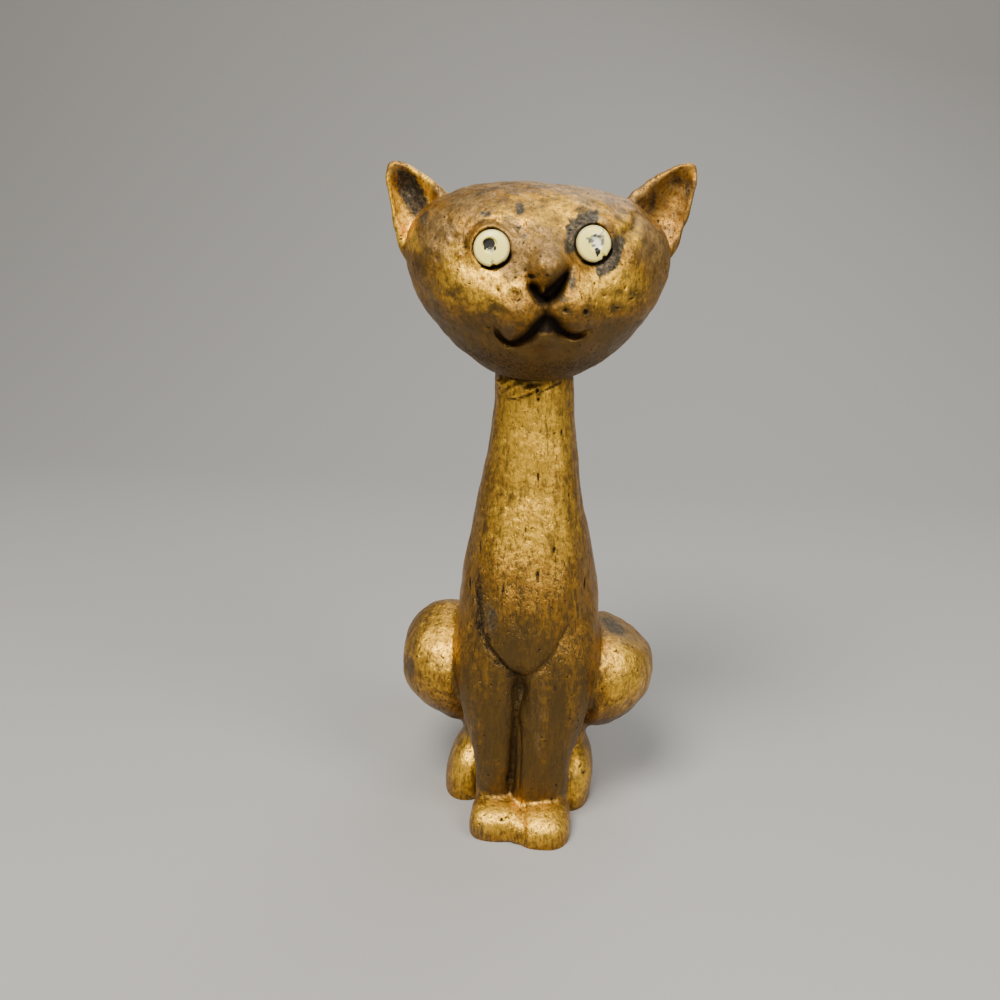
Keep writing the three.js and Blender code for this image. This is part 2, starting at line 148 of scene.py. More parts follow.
# Middle x, y, z and radius of the tail, which lies on the floor behind the rump.
TAIL = [
    [3.5, 17, 6.5, 3.4], [4.5, 22.2, 3.6, 3.2], [0.5, 24.6, 2.7, 3], [-4.6, 24.2, 2.5, 2.8],
    [-8.6, 21, 2.3, 2.4], [-9.6, 18, 2, 1.8],
]
BODY_VOXEL = 0.00066


def along(rows, t):
    """The rows at places t, 0 at the first row and 1 at the last: between two rows a cubic whose slope
    at each row points from the row before to the row after."""
    rows = np.asarray(rows, float)
    before = np.clip(np.arange(len(rows)) - 1, 0, None)
    after = np.clip(np.arange(len(rows)) + 1, None, len(rows) - 1)
    slope = (rows[after] - rows[before]) / (after - before)[:, None]
    at = np.clip(t, 0, 1) * (len(rows) - 1)
    i = np.minimum(at.astype(int), len(rows) - 2)
    s = (at - i)[..., None]
    start, end = rows[i], rows[i + 1]
    bend = (2 * (start - end) + slope[i] + slope[i + 1]) * s**3
    return bend + (3 * (end - start) - 2 * slope[i] - slope[i + 1]) * s**2 + slope[i] * s + start


def filled(v, squareness):
    """v with its size raised to a power: below 1 it fills out the corners of an oval."""
    return np.sign(v) * np.abs(v) ** squareness


def shell(rings):
    """A closed skin over rings of points, counterclockwise from above and climbing: each ring joins the
    next by two triangles a point, and the first and last close on their own middles."""
    count, around = rings.shape[:2]
    ends = [rings[0].mean(axis=0), rings[-1].mean(axis=0)]
    points = np.concatenate([rings.reshape(-1, 3), ends])
    i = np.arange(around)
    here = (np.arange(count)[:, None] * around + i)[..., None]
    there = (np.arange(count)[:, None] * around + (i + 1) % around)[..., None]
    lower = np.concatenate([here[:-1], there[:-1], there[1:]], axis=2).reshape(-1, 3)
    upper = np.concatenate([here[:-1], there[1:], here[1:]], axis=2).reshape(-1, 3)
    foot = np.stack([np.full(around, count * around), (i + 1) % around, i], axis=1)
    cap = np.stack([np.full(around, count * around + 1), here[-1, :, 0], there[-1, :, 0]], axis=1)
    return points, np.concatenate([lower, upper, foot, cap])


def oval_rings(rows, levels, around):
    """Level ovals: x is the half width times the sine of the turn, y the reach forward or back times its
    cosine, z the row's height."""
    z, half, front, back = np.moveaxis(along(rows, np.linspace(0, 1, levels)), 1, 0)[..., None]
    turn = np.linspace(0, 2 * math.pi, around, endpoint=False)
    y = -np.where(np.cos(turn) > 0, front, back) * np.cos(turn)
    return np.stack([half * np.sin(turn), y, z + 0 * turn], axis=2)


def leg_rings(levels, around):
    """Squared level ovals set forward of the neck, with a V-shaped hollow pressed into their front: its
    depth falls off as e to the power of minus the distance from the middle over the spread."""
    rows = np.moveaxis(along(FRONT_LEGS, np.linspace(0, 1, levels)), 1, 0)[..., None]
    z, half, forward, depth, hollow, spread = rows
    turn = np.linspace(0, 2 * math.pi, around, endpoint=False)
    x = half * filled(np.sin(turn), LEG_SQUARENESS)
    y = -depth * filled(np.cos(turn), LEG_SQUARENESS)
    middle = np.interp(z, *LEG_HOLLOW_MIDDLE) - LEGS_ASIDE
    y = y + np.where(y < 0, hollow * np.exp(-np.abs(x - middle) / spread), 0)
    return np.stack([x + LEGS_ASIDE, y - forward, z + 0 * turn], axis=2)


def tail_rings(levels, around):
    """Circles of the tail's radius, square to its middle line."""
    t = np.linspace(0, 1, levels)
    line = along(TAIL, t)
    ahead = along(TAIL, np.minimum(t + 0.01, 1))[:, :3] - along(TAIL, np.maximum(t - 0.01, 0))[:, :3]
    across = np.cross([0, 0, 1], ahead)
    across /= np.linalg.norm(across, axis=1)[:, None]
    over = np.cross(ahead, across)
    over /= np.linalg.norm(over, axis=1)[:, None]
    turn = np.linspace(0, 2 * math.pi, around, endpoint=False)[:, None]
    round_it = across[:, None] * np.cos(turn) + over[:, None] * np.sin(turn)
    close = np.sqrt(np.clip((1 - t) / 0.08, 0.02, 1))
    return line[:, None, :3] + round_it * (line[:, 3] * close)[:, None, None]


def egg_rings(middle, half, squareness=1.0, narrowing=0.0, turn=(0, 0, 0), facet=None, levels=60, around=90):
    """A ball with filled-out corners and a narrow lower end, drawn out to three half sizes, turned about
    X, Y and Z and set in its place. A facet presses what lies past a plane back towards it, by d * d over
    d + FACET_EDGE at a distance d past it, so that the flat has a soft edge."""
    climb = np.linspace(-math.pi / 2, math.pi / 2, levels + 2)[1:-1, None]
    go = np.linspace(0, 2 * math.pi, around, endpoint=False)
    ball = np.stack([np.cos(climb) * np.cos(go), np.cos(climb) * np.sin(go), np.sin(climb) + 0 * go], axis=2)
    narrow = 1 - narrowing * np.clip(-ball[..., 2], 0, None) ** 1.5
    ball = filled(ball, squareness)
    ball[..., :2] *= narrow[..., None]
    ball = ball * half
    spin = Matrix.Identity(3)
    for angle, axis in zip(reversed(turn), "ZYX"):
        spin = spin @ Matrix.Rotation(math.radians(angle), 3, axis)
    ball = ball @ np.array(spin).T
    if facet:
        outward = np.array(facet["outward"]) / np.linalg.norm(facet["outward"])
        past = np.clip(ball @ outward - facet["distance"], 0, None)
        ball = ball - (past**2 / (past + FACET_EDGE))[..., None] * outward
    return ball + middle


def mesh_of(name, shells):
    """One mesh of several closed skins, in metres."""
    starts = np.cumsum([0] + [len(points) for points, _ in shells])
    points = np.concatenate([points for points, _ in shells]) * HUNDREDTH
    corners = np.concatenate([faces + start for (_, faces), start in zip(shells, starts)])
    mesh = bpy.data.meshes.new(name)
    mesh.vertices.add(len(points))
    mesh.vertices.foreach_set("co", points.ravel())
    mesh.loops.add(corners.size)
    mesh.loops.foreach_set("vertex_index", corners.ravel().astype(np.int32))
    mesh.polygons.add(len(corners))
    mesh.polygons.foreach_set("loop_start", np.arange(len(corners), dtype=np.int32) * 3)
    mesh.update(calc_edges=True)
    return mesh


def fused(name, shells, voxel, softening):
    """Skins that overlap, melted into one even skin of small squares and softened, so that the creases
    between them become fillets."""
    piece = bpy.data.objects.new(name, mesh_of(name, shells))
    collection.objects.link(piece)
    melt = piece.modifiers.new("melt", "REMESH")
    melt.mode = "VOXEL"
    melt.voxel_size = voxel
    soften = piece.modifiers.new("soften", "SMOOTH")
    soften.factor = 0.5
    soften.iterations = softening
    done = piece.evaluated_get(bpy.context.evaluated_depsgraph_get())
    piece.data = bpy.data.meshes.new_from_object(done)
    piece.modifiers.clear()
    piece.data.name = name
    piece.data.shade_smooth()
    return piece


def points_of(piece):
    """The piece's points, in hundredths."""
    flat = np.empty(len(piece.data.vertices) * 3)
    piece.data.vertices.foreach_get("co", flat)
    return flat.reshape(-1, 3) / HUNDREDTH


def outward_of(piece):
    """The way out of the skin at each point."""
    flat = np.empty(len(piece.data.vertices) * 3)
    piece.data.vertex_normals.foreach_get("vector", flat)
    return flat.reshape(-1, 3)


def move_points(piece, points):
    """Puts the piece's points, given in hundredths, in new places."""
    piece.data.vertices.foreach_set("co", (points * HUNDREDTH).ravel())
    piece.data.update()


def keep(piece, name, values):
    """Stores a value for each point, for the material to read."""
    layer = piece.data.attributes.new(name, "FLOAT", "POINT")
    layer.data.foreach_set("value", np.asarray(values, np.float32))


def hill(distance, spread):
    """1 at no distance, falling on a bell curve to nothing at about twice the spread."""
    return np.exp(-((distance / spread) ** 2))


def ramp(v, low, high):
    """0 up to low, 1 from high, and a smooth step between."""
    s = np.clip((v - low) / (high - low), 0, 1)
    return s * s * (3 - 2 * s)


def near_line(line, x, z):
    """How far points lie from a smooth line through several places, and how far along it, 0 to 1."""
    line = along(line, np.linspace(0, 1, 6 * len(line)))
    nearest = np.full(x.shape, np.inf)
    place = np.zeros(x.shape)
    for k, (start, end) in enumerate(zip(line[:-1], line[1:])):
        leg = end - start
        s = np.clip(((x - start[0]) * leg[0] + (z - start[1]) * leg[1]) / (leg @ leg), 0, 1)
        gap = np.hypot(x - start[0] - s * leg[0], z - start[1] - s * leg[1])
        place = np.where(gap < nearest, (k + s) / (len(line) - 1), place)
        nearest = np.minimum(gap, nearest)
    return nearest, place


def stroke(line, x, z, spread, swell=0.0, swell_at=0.5):
    """1 along a smooth line's middle, fading on a bell curve to its sides and, smoothly, to its two
    ends. The spread grows by the swell round one place of the line."""
    gap, place = near_line(line, x, z)
    width = spread + swell * hill(place - swell_at, 0.22)
    return hill(gap, width) * ramp(np.minimum(place, 1 - place), -0.06, 0.15)


def blots(at, rows):
    """The strongest of several soft blots at each point. A row gives a blot's middle, its half sizes and
    its strength, which it has at its middle and loses on a bell curve over the half sizes."""
    size = at.shape[1]
    strongest = np.zeros(len(at))
    for row in np.array(rows):
        away = (at - row[:size]) / row[size:-1]
        strongest = np.maximum(strongest, row[-1] * np.exp(-np.sum(away**2, axis=1)))
    return strongest


def lumps(points, size, seed, waves=14):
    """Soft unevenness between about -1 and 1: the mean of plane sine waves about size long, each with a
    direction and a start drawn from the seed."""
    draw = np.random.default_rng(seed)
    total = np.zeros(len(points))
    for _ in range(waves):
        way = draw.normal(size=3)
        way *= 2 * math.pi / (size * draw.uniform(0.7, 1.5) * np.linalg.norm(way))
        total += np.sin(points @ way + draw.uniform(0, 2 * math.pi))
    return total / math.sqrt(waves / 2)


body = fused(
    "cat_body",
    [
        shell(oval_rings(TRUNK, 220, 200)),
        shell(leg_rings(160, 200)),
        shell(tail_rings(90, 48)),
        shell(egg_rings([-3.2, -12.5, 1.2], [4.25, 4.8, 4.0], squareness=0.72, turn=(7, 0, 0))),
        shell(egg_rings([4.1, -12.9, 1.0], [4.2, 5.8, 4.0], squareness=0.72, turn=(7, 0, 0))),
        shell(egg_rings([0.5, -14.5, 1.3], [1.7, 3.2, 2.9], squareness=0.9, turn=(7, 0, 0))),
        shell(egg_rings([-9.0, 1.4, 2.4], [3.9, 7.4, 7.4], squareness=0.9, turn=(0, 8, 0))),
        shell(egg_rings([7.9, 0.6, 2.6], [3.5, 8.0, 7.4], squareness=0.9, turn=(0, 3, 0))),
        shell(egg_rings([-12.2, 4.5, 20.3], [8.1, 12.4, 10.2], narrowing=0.26, turn=(-12, -20, 0))),
        shell(
            egg_rings(
                [12.3, 4.5, 20.0],
                [8.1, 12.4, 9.8],
                narrowing=0.3,
                turn=(-12, 16, 0),
                facet={"outward": [0.5, 0.12, 0.86], "distance": 7.2},
            )
        ),
    ],
    BODY_VOXEL,
    7,
)
# The chest's two lower edges and the line between the legs, as x and z on the front, and the line
# between the paws, as x and y.
CHEST_EDGE_RIGHT = [[-7.6, 37.6], [-7, 35.4], [-6.3, 31.8], [-4.8, 29.2], [-2.6, 27], [-0.1, 24.8]]
CHEST_EDGE_LEFT = [[7.3, 34.4], [5.6, 30.6], [3.4, 27.4], [1.4, 25.6], [-0.1, 24.8]]
LEG_LINE = [[-0.1, 25.4], [-0.5, 21], [-0.8, 16], [-1, 10], [-1.25, 5.2]]
LEG_SECOND_LINE = [[-0.2, 18.5], [0.15, 13], [0.1, 5.4]]
PAW_LINE = [[0.3, -13.2], [0.9, -15.6], [1.7, -18.6]]
# The brazed joint's ragged lip, and the crack that runs from it round the neck's front.
LIP_LINE = [[-4.9, 68.7], [-3.6, 68.3], [-2.2, 68.8], [-0.6, 68.3], [0.6, 68.6]]
CRACK_LINES = [
    [[-4.2, 67.3], [-3.6, 66.4], [-2.0, 66.7], [-0.2, 67.4], [0.6, 68.0]],
    [[0.5, 67.3], [2.0, 68.0], [3.4, 68.7], [4.8, 69.1]],
]
# The dark seam under the chin.
SEAM = 69.7
# Blots: middle, half sizes, strength. Rubbed bright, partly as painted highlight; dark brown, partly as
# painted shade; dull with age and bare of colour.
# Painted highlights on the haunches, paws, feet and neck, where the metal is also rubbed bright.
BODY_GILT_AND_HIGHLIGHTS = [
    [-12.5, -2, 25.5, 6.5, 9, 6.5, 1], [15.2, -2, 23.2, 5, 8, 5.5, 1],
    [-3.2, -16, 3.8, 4.4, 4, 2.5, 1.2], [4.2, -16.5, 3.4, 4.4, 4.4, 2.7, 1.2],
    [-9.3, -3.8, 6.8, 3, 5, 5.4, 1.2], [8.9, -4.2, 6.4, 2.8, 5, 5.2, 1.1],
    [0.5, -15.6, 3.8, 1.6, 3.4, 2.2, 1.2], [0.4, -6, 62, 7.4, 7, 13, 1], [1, -8, 49, 9, 7, 9, 0.85],
    [0, 17, 22, 8, 8, 6, 0.6],
]
# Painted shade under the chest, in the creases beside the legs and on the haunches' lower sides, with dark
# brown at the seam and on the back.
BODY_UMBER_AND_SHADE = [
    [0, -12, 29.5, 8, 6, 7, 1.15], [-6.7, -10, 35.6, 1.3, 8, 4.4, 1.15], [-10, -4, 22, 1.7, 6, 8, 1],
    [10.6, -4.5, 19.6, 1.6, 6, 7, 0.9], [-18.6, -3.6, 22.2, 1.4, 3.2, 2, 1.1],
    [-15, 1, 12.4, 7, 12, 4.4, 1.25], [15.2, 1, 12.4, 7.4, 12, 4.6, 1.3],
    [-0.2, -12, 24, 1.5, 5, 2.8, 1.1], [0, -3, 70, 7, 7, 1.6, 0.8], [0, 8, 40, 12, 6, 14, 0.5],
]
BODY_DULL = [
    [-9.6, -5, 28.5, 1.8, 3, 2.6, 0.9], [10.8, -6, 26, 1.4, 3, 4, 0.8], [14, 3, 27.6, 5, 7, 3.4, 1.1],
    [-8, -3, 44, 2, 5, 12, 0.6], [-6.4, -12, 34, 2.2, 4, 4.2, 0.55], [-7.6, -11, 17, 1.4, 4, 8, 0.42],
    [3.1, -12, 19, 1.3, 4, 9, 0.44], [-5.2, -16.5, 1.6, 1.8, 3, 1.6, 0.8], [0, 14, 6, 9, 8, 5, 0.7],
]
BODY_BARE = [[13.6, 3, 27.8, 3.6, 6, 3, 0.8], [-4.9, -12, 34.4, 1.7, 4, 4, 0.68]]
# Dark pits and drawn-out marks on the front: middle x and z, half width and half height, strength.
BODY_MARKS = [
    [1.4, 55.3, 0.24, 1.2, 1], [2, 41.2, 0.26, 1.6, 1], [-3.1, 38.7, 0.24, 1.2, 0.9],
    [-7.1, 43.7, 0.22, 1.2, 0.8], [-8.6, 37.9, 0.22, 1.3, 0.9], [4.2, 44.6, 0.3, 0.6, 0.9],
    [-0.4, 52.6, 0.22, 1.6, 0.7], [-0.1, 47.6, 0.3, 1, 0.7], [4.6, 61.7, 0.22, 0.6, 0.8],
    [9.1, 38.6, 0.22, 1.2, 0.9], [-2.5, 59.8, 0.22, 0.22, 0.9], [-0.2, 65.5, 0.24, 0.22, 0.8],
    [5.9, 52.2, 0.2, 0.5, 0.8], [-2.1, 3.6, 0.3, 0.2, 1], [-1.4, 3.8, 0.22, 0.2, 0.9],
    [10, 6.2, 0.24, 0.24, 1], [9.4, 7.2, 0.24, 0.24, 0.9], [-1.6, 8.2, 0.3, 1, 0.9],
    [0.8, 68, 0.35, 0.5, 1], [1, 66.8, 0.25, 0.7, 0.9],
]
# The dirt along the chest's right edge, in the same form, no stronger than SMEAR_LIMIT.
SMEAR_LIMIT = 0.57
BODY_SMEARS = [
    [-7, 37.4, 0.6, 2.6, 1.5], [-6.6, 33.6, 0.75, 2.6, 1.5], [-5.4, 30.6, 0.6, 1.4, 1.2],
    [-3.4, 27.6, 0.9, 0.7, 1.2], [-1.2, 25.6, 1.2, 0.7, 1.1],
]

# Relief: soft lumps all over and up the legs, less the lines, pits and crack, and the lip's swelling.
at = points_of(body)
outward = outward_of(body)
front = ramp(-outward[:, 1], 0.1, 0.5)
x, y, z = at.T
on_front = at[:, [0, 2]]
right_edge = stroke(CHEST_EDGE_RIGHT, x, z, 0.34, 0.16, 0.6) * front
left_edge = stroke(CHEST_EDGE_LEFT, x, z, 0.3, 0.1, 0.7) * front
leg_line = stroke(LEG_LINE, x, z, 0.33, 0.2, 0.15) * front
second_line = stroke(LEG_SECOND_LINE, x, z, 0.3) * front
paw_line = stroke(PAW_LINE, x, y, 0.27) * ramp(z, 0.8, 2.0) * (z < 7)
crack = np.maximum(*[stroke(line, x, z, 0.25) * front for line in CRACK_LINES])
lip = hill(near_line(LIP_LINE, x, z)[0], 0.75) * ramp(-outward[:, 1], 0.3, 0.7)
seam = ramp(z + 0.25 * lumps(at, 1.5, 8), SEAM - 0.3, SEAM + 0.2)
seam *= 1 - 0.6 * ramp(np.abs(x), 3.4, 5.4)
# The hollow where the front legs part is pressed in and painted dark as its shade.
fork = blots(on_front, [[-0.2, 23.6, 1.3, 2.4, 1.0]]) * front
marks = blots(on_front, BODY_MARKS) * (y < 0) * ramp(-outward[:, 1], 0.0, 0.2)
smears = np.minimum(blots(on_front, BODY_SMEARS), SMEAR_LIMIT) * front
swell = 0.09 * lumps(at, 11, 3) + 0.03 * lumps(at, 4.5, 4) + 0.012 * lumps(at, 1.7, 5)
swell += 0.045 * lumps(at * [1, 1, 0.12], 2.4, 7) * ramp(z, 5, 8)
swell -= 0.45 * right_edge + 0.3 * left_edge + 0.3 * leg_line + 0.22 * second_line + 0.34 * paw_line
swell -= 0.16 * marks + 0.14 * crack + 0.5 * fork
swell += lip * (0.36 + 0.34 * lumps(at, 1.1, 6)) * (1 - seam)
body_points = at + outward * (swell * ramp(z, 0.1, 0.8))[:, None]
body_points[:, 2] = np.clip(body_points[:, 2], 0, None)
move_points(body, body_points)
# The fields that the brass reads. The front legs get painted shade, and the lines between the forms are dark.
leg_shade_and_umber = ramp(z, 4.4, 6.2) * (1 - ramp(z, 18, 40)) * ramp(-y, 5, 8) * (1 - ramp(np.abs(x), 9.6, 11.6))
leg_shade_and_umber = np.maximum(leg_shade_and_umber, blots(at, BODY_UMBER_AND_SHADE) * (1 - 0.6 * ramp(z, 42, 50) * (z < 66)))
leg_shade_and_umber *= 0.9 + 0.16 * lumps(at * [1, 1, 0.06], 3.0, 21) * (z < 30)
lines = np.max([right_edge, 0.7 * left_edge, leg_line, 0.8 * second_line], axis=0)
keep(body, "gilt_and_highlight", np.maximum(blots(at, BODY_GILT_AND_HIGHLIGHTS) * (1 - 0.9 * leg_shade_and_umber * (z > 5)), lip))
shades = [leg_shade_and_umber, 1.2 * lines, 0.8 * hill(z - SEAM, 0.5), 0.8 * crack, 0.9 * marks]
keep(body, "umber_and_shade", np.max(shades, axis=0))
keep(body, "dull", np.maximum(blots(at, BODY_DULL), 0.45 * lip))
keep(body, "bare", blots(at, BODY_BARE))
grooves = [0.6 * right_edge, 0.24 * left_edge, 0.6 * leg_line, 0.36 * second_line, 0.56 * paw_line]
grooves += [0.5 * fork, 0.56 * crack, 0.62 * seam]
keep(body, "mark_and_shade", np.max([0.95 * marks, smears, *grooves], axis=0))

# The brass of both castings: a rubbed gold skin, which also carries painted highlights, over brown
# lacquer and age, with pinholes from the casting, dark dirt in the hollows, painted shade on the front
# legs, under the chest, on the jaw and round the eyes, and marks drawn down the neck and legs by the
# modelling tool.
# The rubbed gold also lays painted highlights, and the umber and the dirt also lay painted shade.
GOLD_AND_HIGHLIGHT = (1.0, 0.57, 0.05, 1)
BROWN_GOLD = (0.5, 0.245, 0.03, 1)
TARNISH = (0.2, 0.092, 0.016, 1)
UMBER_AND_SHADE = (0.112, 0.07, 0.025, 1)
AGED = (0.34, 0.21, 0.07, 1)
DARK_AGED = (0.09, 0.054, 0.02, 1)
BARE_GREY = (0.035, 0.028, 0.018, 1)
WORN_GREY = (0.13, 0.105, 0.06, 1)
DIRT_AND_SHADE = (0.016, 0.009, 0.004, 1)
# Noise cells in a metre, raggedness and sharpness of the patches whose fields the points keep.
KEPT_PATCHES = {
    "gilt_and_highlight": (420.0, 1.7, 1.7),
    "umber_and_shade": (520.0, 1.5, 1.7),
    "dull": (360.0, 1.5, 2.2),
    "bare": (1100.0, 1.2, 3.2),
    "mark_and_shade": (1300.0, 0.9, 3.0),
}
# One field for the whole surface, then the same, of the patches that may lie anywhere.
EVEN_PATCHES = {
    "tarnish": (0.36, 800.0, 2.6, 2.4),
    "stains": (0.22, 320.0, 2.4, 3.0),
    "freckles": (0.5, 420.0, 3.6, 2.4),
    "worn": (0.4, 800.0, 2.2, 3.0),
}
# How deep each pattern goes, in parts of the relief's reach of 0.35 mm. Below 0 it stands out.
RELIEF = {"fine": -0.25, "mottle": -0.6, "drawn": 0.35, "specks": 0.4, "holes": 1.0, "mark_and_shade": 0.6}
RELIEF_REACH = 0.00035
VECTOR, NUMBER = "NodeSocketVector", "NodeSocketFloat"


def node(tree, kind, values=None, **settings):
    """Adds a shader node, with its settings, and fills or links its inputs."""
    made = tree.nodes.new("ShaderNode" + kind)
    for key, value in settings.items():
        setattr(made, key, value)
    for key, value in (values or {}).items():
        if isinstance(value, bpy.types.NodeSocket):
            tree.links.new(value, made.inputs[key])
        else:
            made.inputs[key].default_value = value
    return made


def maths(tree, operation, *values):
    """The output of a math node over one to three values."""
    return node(tree, "Math", dict(enumerate(values)), operation=operation).outputs[0]


def times(tree, value, factor):
    """One value times another."""
    return maths(tree, "MULTIPLY", value, factor)


def vector_maths(tree, operation, *values):
    """The output of a vector math node over two vectors."""
    return node(tree, "VectorMath", dict(enumerate(values)), operation=operation).outputs[0]


def laid_over(tree, under, over, mask):
    """One colour laid over another where the mask is 1."""
    return node(tree, "Mix", {0: mask, 6: under, 7: over}, data_type="RGBA").outputs[2]


def blend(tree, under, over, mask):
    """One value in place of another where the mask is 1."""
    return node(tree, "Mix", {0: mask, 2: under, 3: over}, data_type="FLOAT").outputs[0]


def kept(tree, name):
    """A value stored on the piece's points."""
    return node(tree, "Attribute", attribute_name=name).outputs["Fac"]


def noise_at(tree, places, scale, detail=4.0, roughness=0.6):
    """Layered noise, 0 to 1, with so many cells in a metre."""
    values = {"Vector": places, "Scale": scale, "Detail": detail, "Roughness": roughness}
    return node(tree, "TexNoise", values).outputs["Fac"]


def stepped(tree, value, low, high, start=0.0, end=1.0):
    """The start where the value is below low, the end above high, and a smooth step between."""
    values = {"Value": value, "From Min": low, "From Max": high, "To Min": start, "To Max": end}
    return node(tree, "MapRange", values, interpolation_type="SMOOTHSTEP").outputs[0]


def shader_group(name, **numbers):
    """A node group with a Vector and the named numbers as inputs, and one output, Mask."""
    tree = bpy.data.node_groups.new(name, "ShaderNodeTree")
    tree.interface.new_socket("Vector", in_out="INPUT", socket_type=VECTOR)
    for socket, value in numbers.items():
        tree.interface.new_socket(socket, in_out="INPUT", socket_type=NUMBER).default_value = value
    tree.interface.new_socket("Mask", in_out="OUTPUT", socket_type=NUMBER)
    return tree, tree.nodes.new("NodeGroupInput").outputs, tree.nodes.new("NodeGroupOutput").inputs["Mask"]


def ragged_patch_group():
    """The mask is the field plus raggedness times (noise - 0.5), less 0.5, times the sharpness, plus
    0.5, held between 0 and 1: a soft field gets the broken edge of worn metal."""
    tree, given, mask = shader_group("ragged_patch", Field=0.0, Grain=300.0, Raggedness=0.8, Sharpness=4.0)
    grain = noise_at(tree, given["Vector"], given["Grain"], 6.0, 0.65)
    offset = times(tree, maths(tree, "SUBTRACT", grain, 0.5), given["Raggedness"])
    field = maths(tree, "SUBTRACT", maths(tree, "ADD", given["Field"], offset), 0.5)
    values = {0: field, 1: given["Sharpness"], 2: 0.5}
    edge = node(tree, "Math", values, operation="MULTIPLY_ADD", use_clamp=True)
    tree.links.new(edge.outputs[0], mask)
    return tree


def pinhole_group():
    """Uneven holes at the middles of scattered cells, whose places are shaken by noise: the mask is 1
    within the radius of a cell's point, in the share of the cells whose random colour tops 1 - share."""
    tree, given, mask = shader_group("pinholes", Scale=600.0, Share=0.3, Radius=0.25)
    values = {"Vector": given["Vector"], "Scale": times(tree, given["Scale"], 1.6), "Detail": 2.0}
    shake = node(tree, "TexNoise", values).outputs["Color"]
    shake = vector_maths(tree, "SUBTRACT", shake, (0.5, 0.5, 0.5))
    reach = maths(tree, "DIVIDE", 1.1, given["Scale"])
    shake = node(tree, "VectorMath", {0: shake, "Scale": reach}, operation="SCALE").outputs[0]
    shaken = vector_maths(tree, "ADD", given["Vector"], shake)
    cells = node(tree, "TexVoronoi", {"Vector": shaken, "Scale": given["Scale"]})
    lots = node(tree, "SeparateColor", {"Color": cells.outputs["Color"]}).outputs
    chosen = maths(tree, "GREATER_THAN", lots[0], maths(tree, "SUBTRACT", 1.0, given["Share"]))
    radius = times(tree, given["Radius"], maths(tree, "MULTIPLY_ADD", lots[1], 0.9, 0.4))
    hole = stepped(tree, cells.outputs["Distance"], times(tree, radius, 0.4), radius, 1.0, 0.0)
    tree.links.new(times(tree, hole, chosen), mask)
    return tree


def drawn_marks_group():
    """Noise stretched up the piece, cut off above a level: short dark strokes, where it tops 1 - share."""
    tree, given, mask = shader_group("drawn_marks", Scale=700.0, Stretch=0.12, Share=0.35)
    squeeze = node(tree, "CombineXYZ", {0: 1.0, 1: 1.0, 2: given["Stretch"]}).outputs[0]
    drawn = vector_maths(tree, "MULTIPLY", given["Vector"], squeeze)
    grain = noise_at(tree, drawn, given["Scale"], 3.0, 0.6)
    level = maths(tree, "SUBTRACT", 1.0, given["Share"])
    tree.links.new(stepped(tree, grain, level, maths(tree, "ADD", level, 0.14)), mask)
    return tree


RAGGED_PATCH = ragged_patch_group()
PINHOLES = pinhole_group()
DRAWN_MARKS = drawn_marks_group()


def grouped(tree, group, places, **values):
    """The mask that a node group makes at the places with these values."""
    return node(tree, "Group", {"Vector": places, **values}, node_tree=group).outputs["Mask"]


def ragged(tree, places, field, grain, raggedness, sharpness):
    """The mask of a ragged patch."""
    values = {"Field": field, "Grain": grain, "Raggedness": raggedness, "Sharpness": sharpness}
    return grouped(tree, RAGGED_PATCH, places, **values)


def new_material(name):
    """A material with nodes: itself, its tree, its shader's inputs and the places on the object."""
    material = bpy.data.materials.new(name)
    material.use_nodes = True
    tree = material.node_tree
    places = node(tree, "TexCoord").outputs["Object"]
    return material, tree, tree.nodes["Principled BSDF"].inputs, places


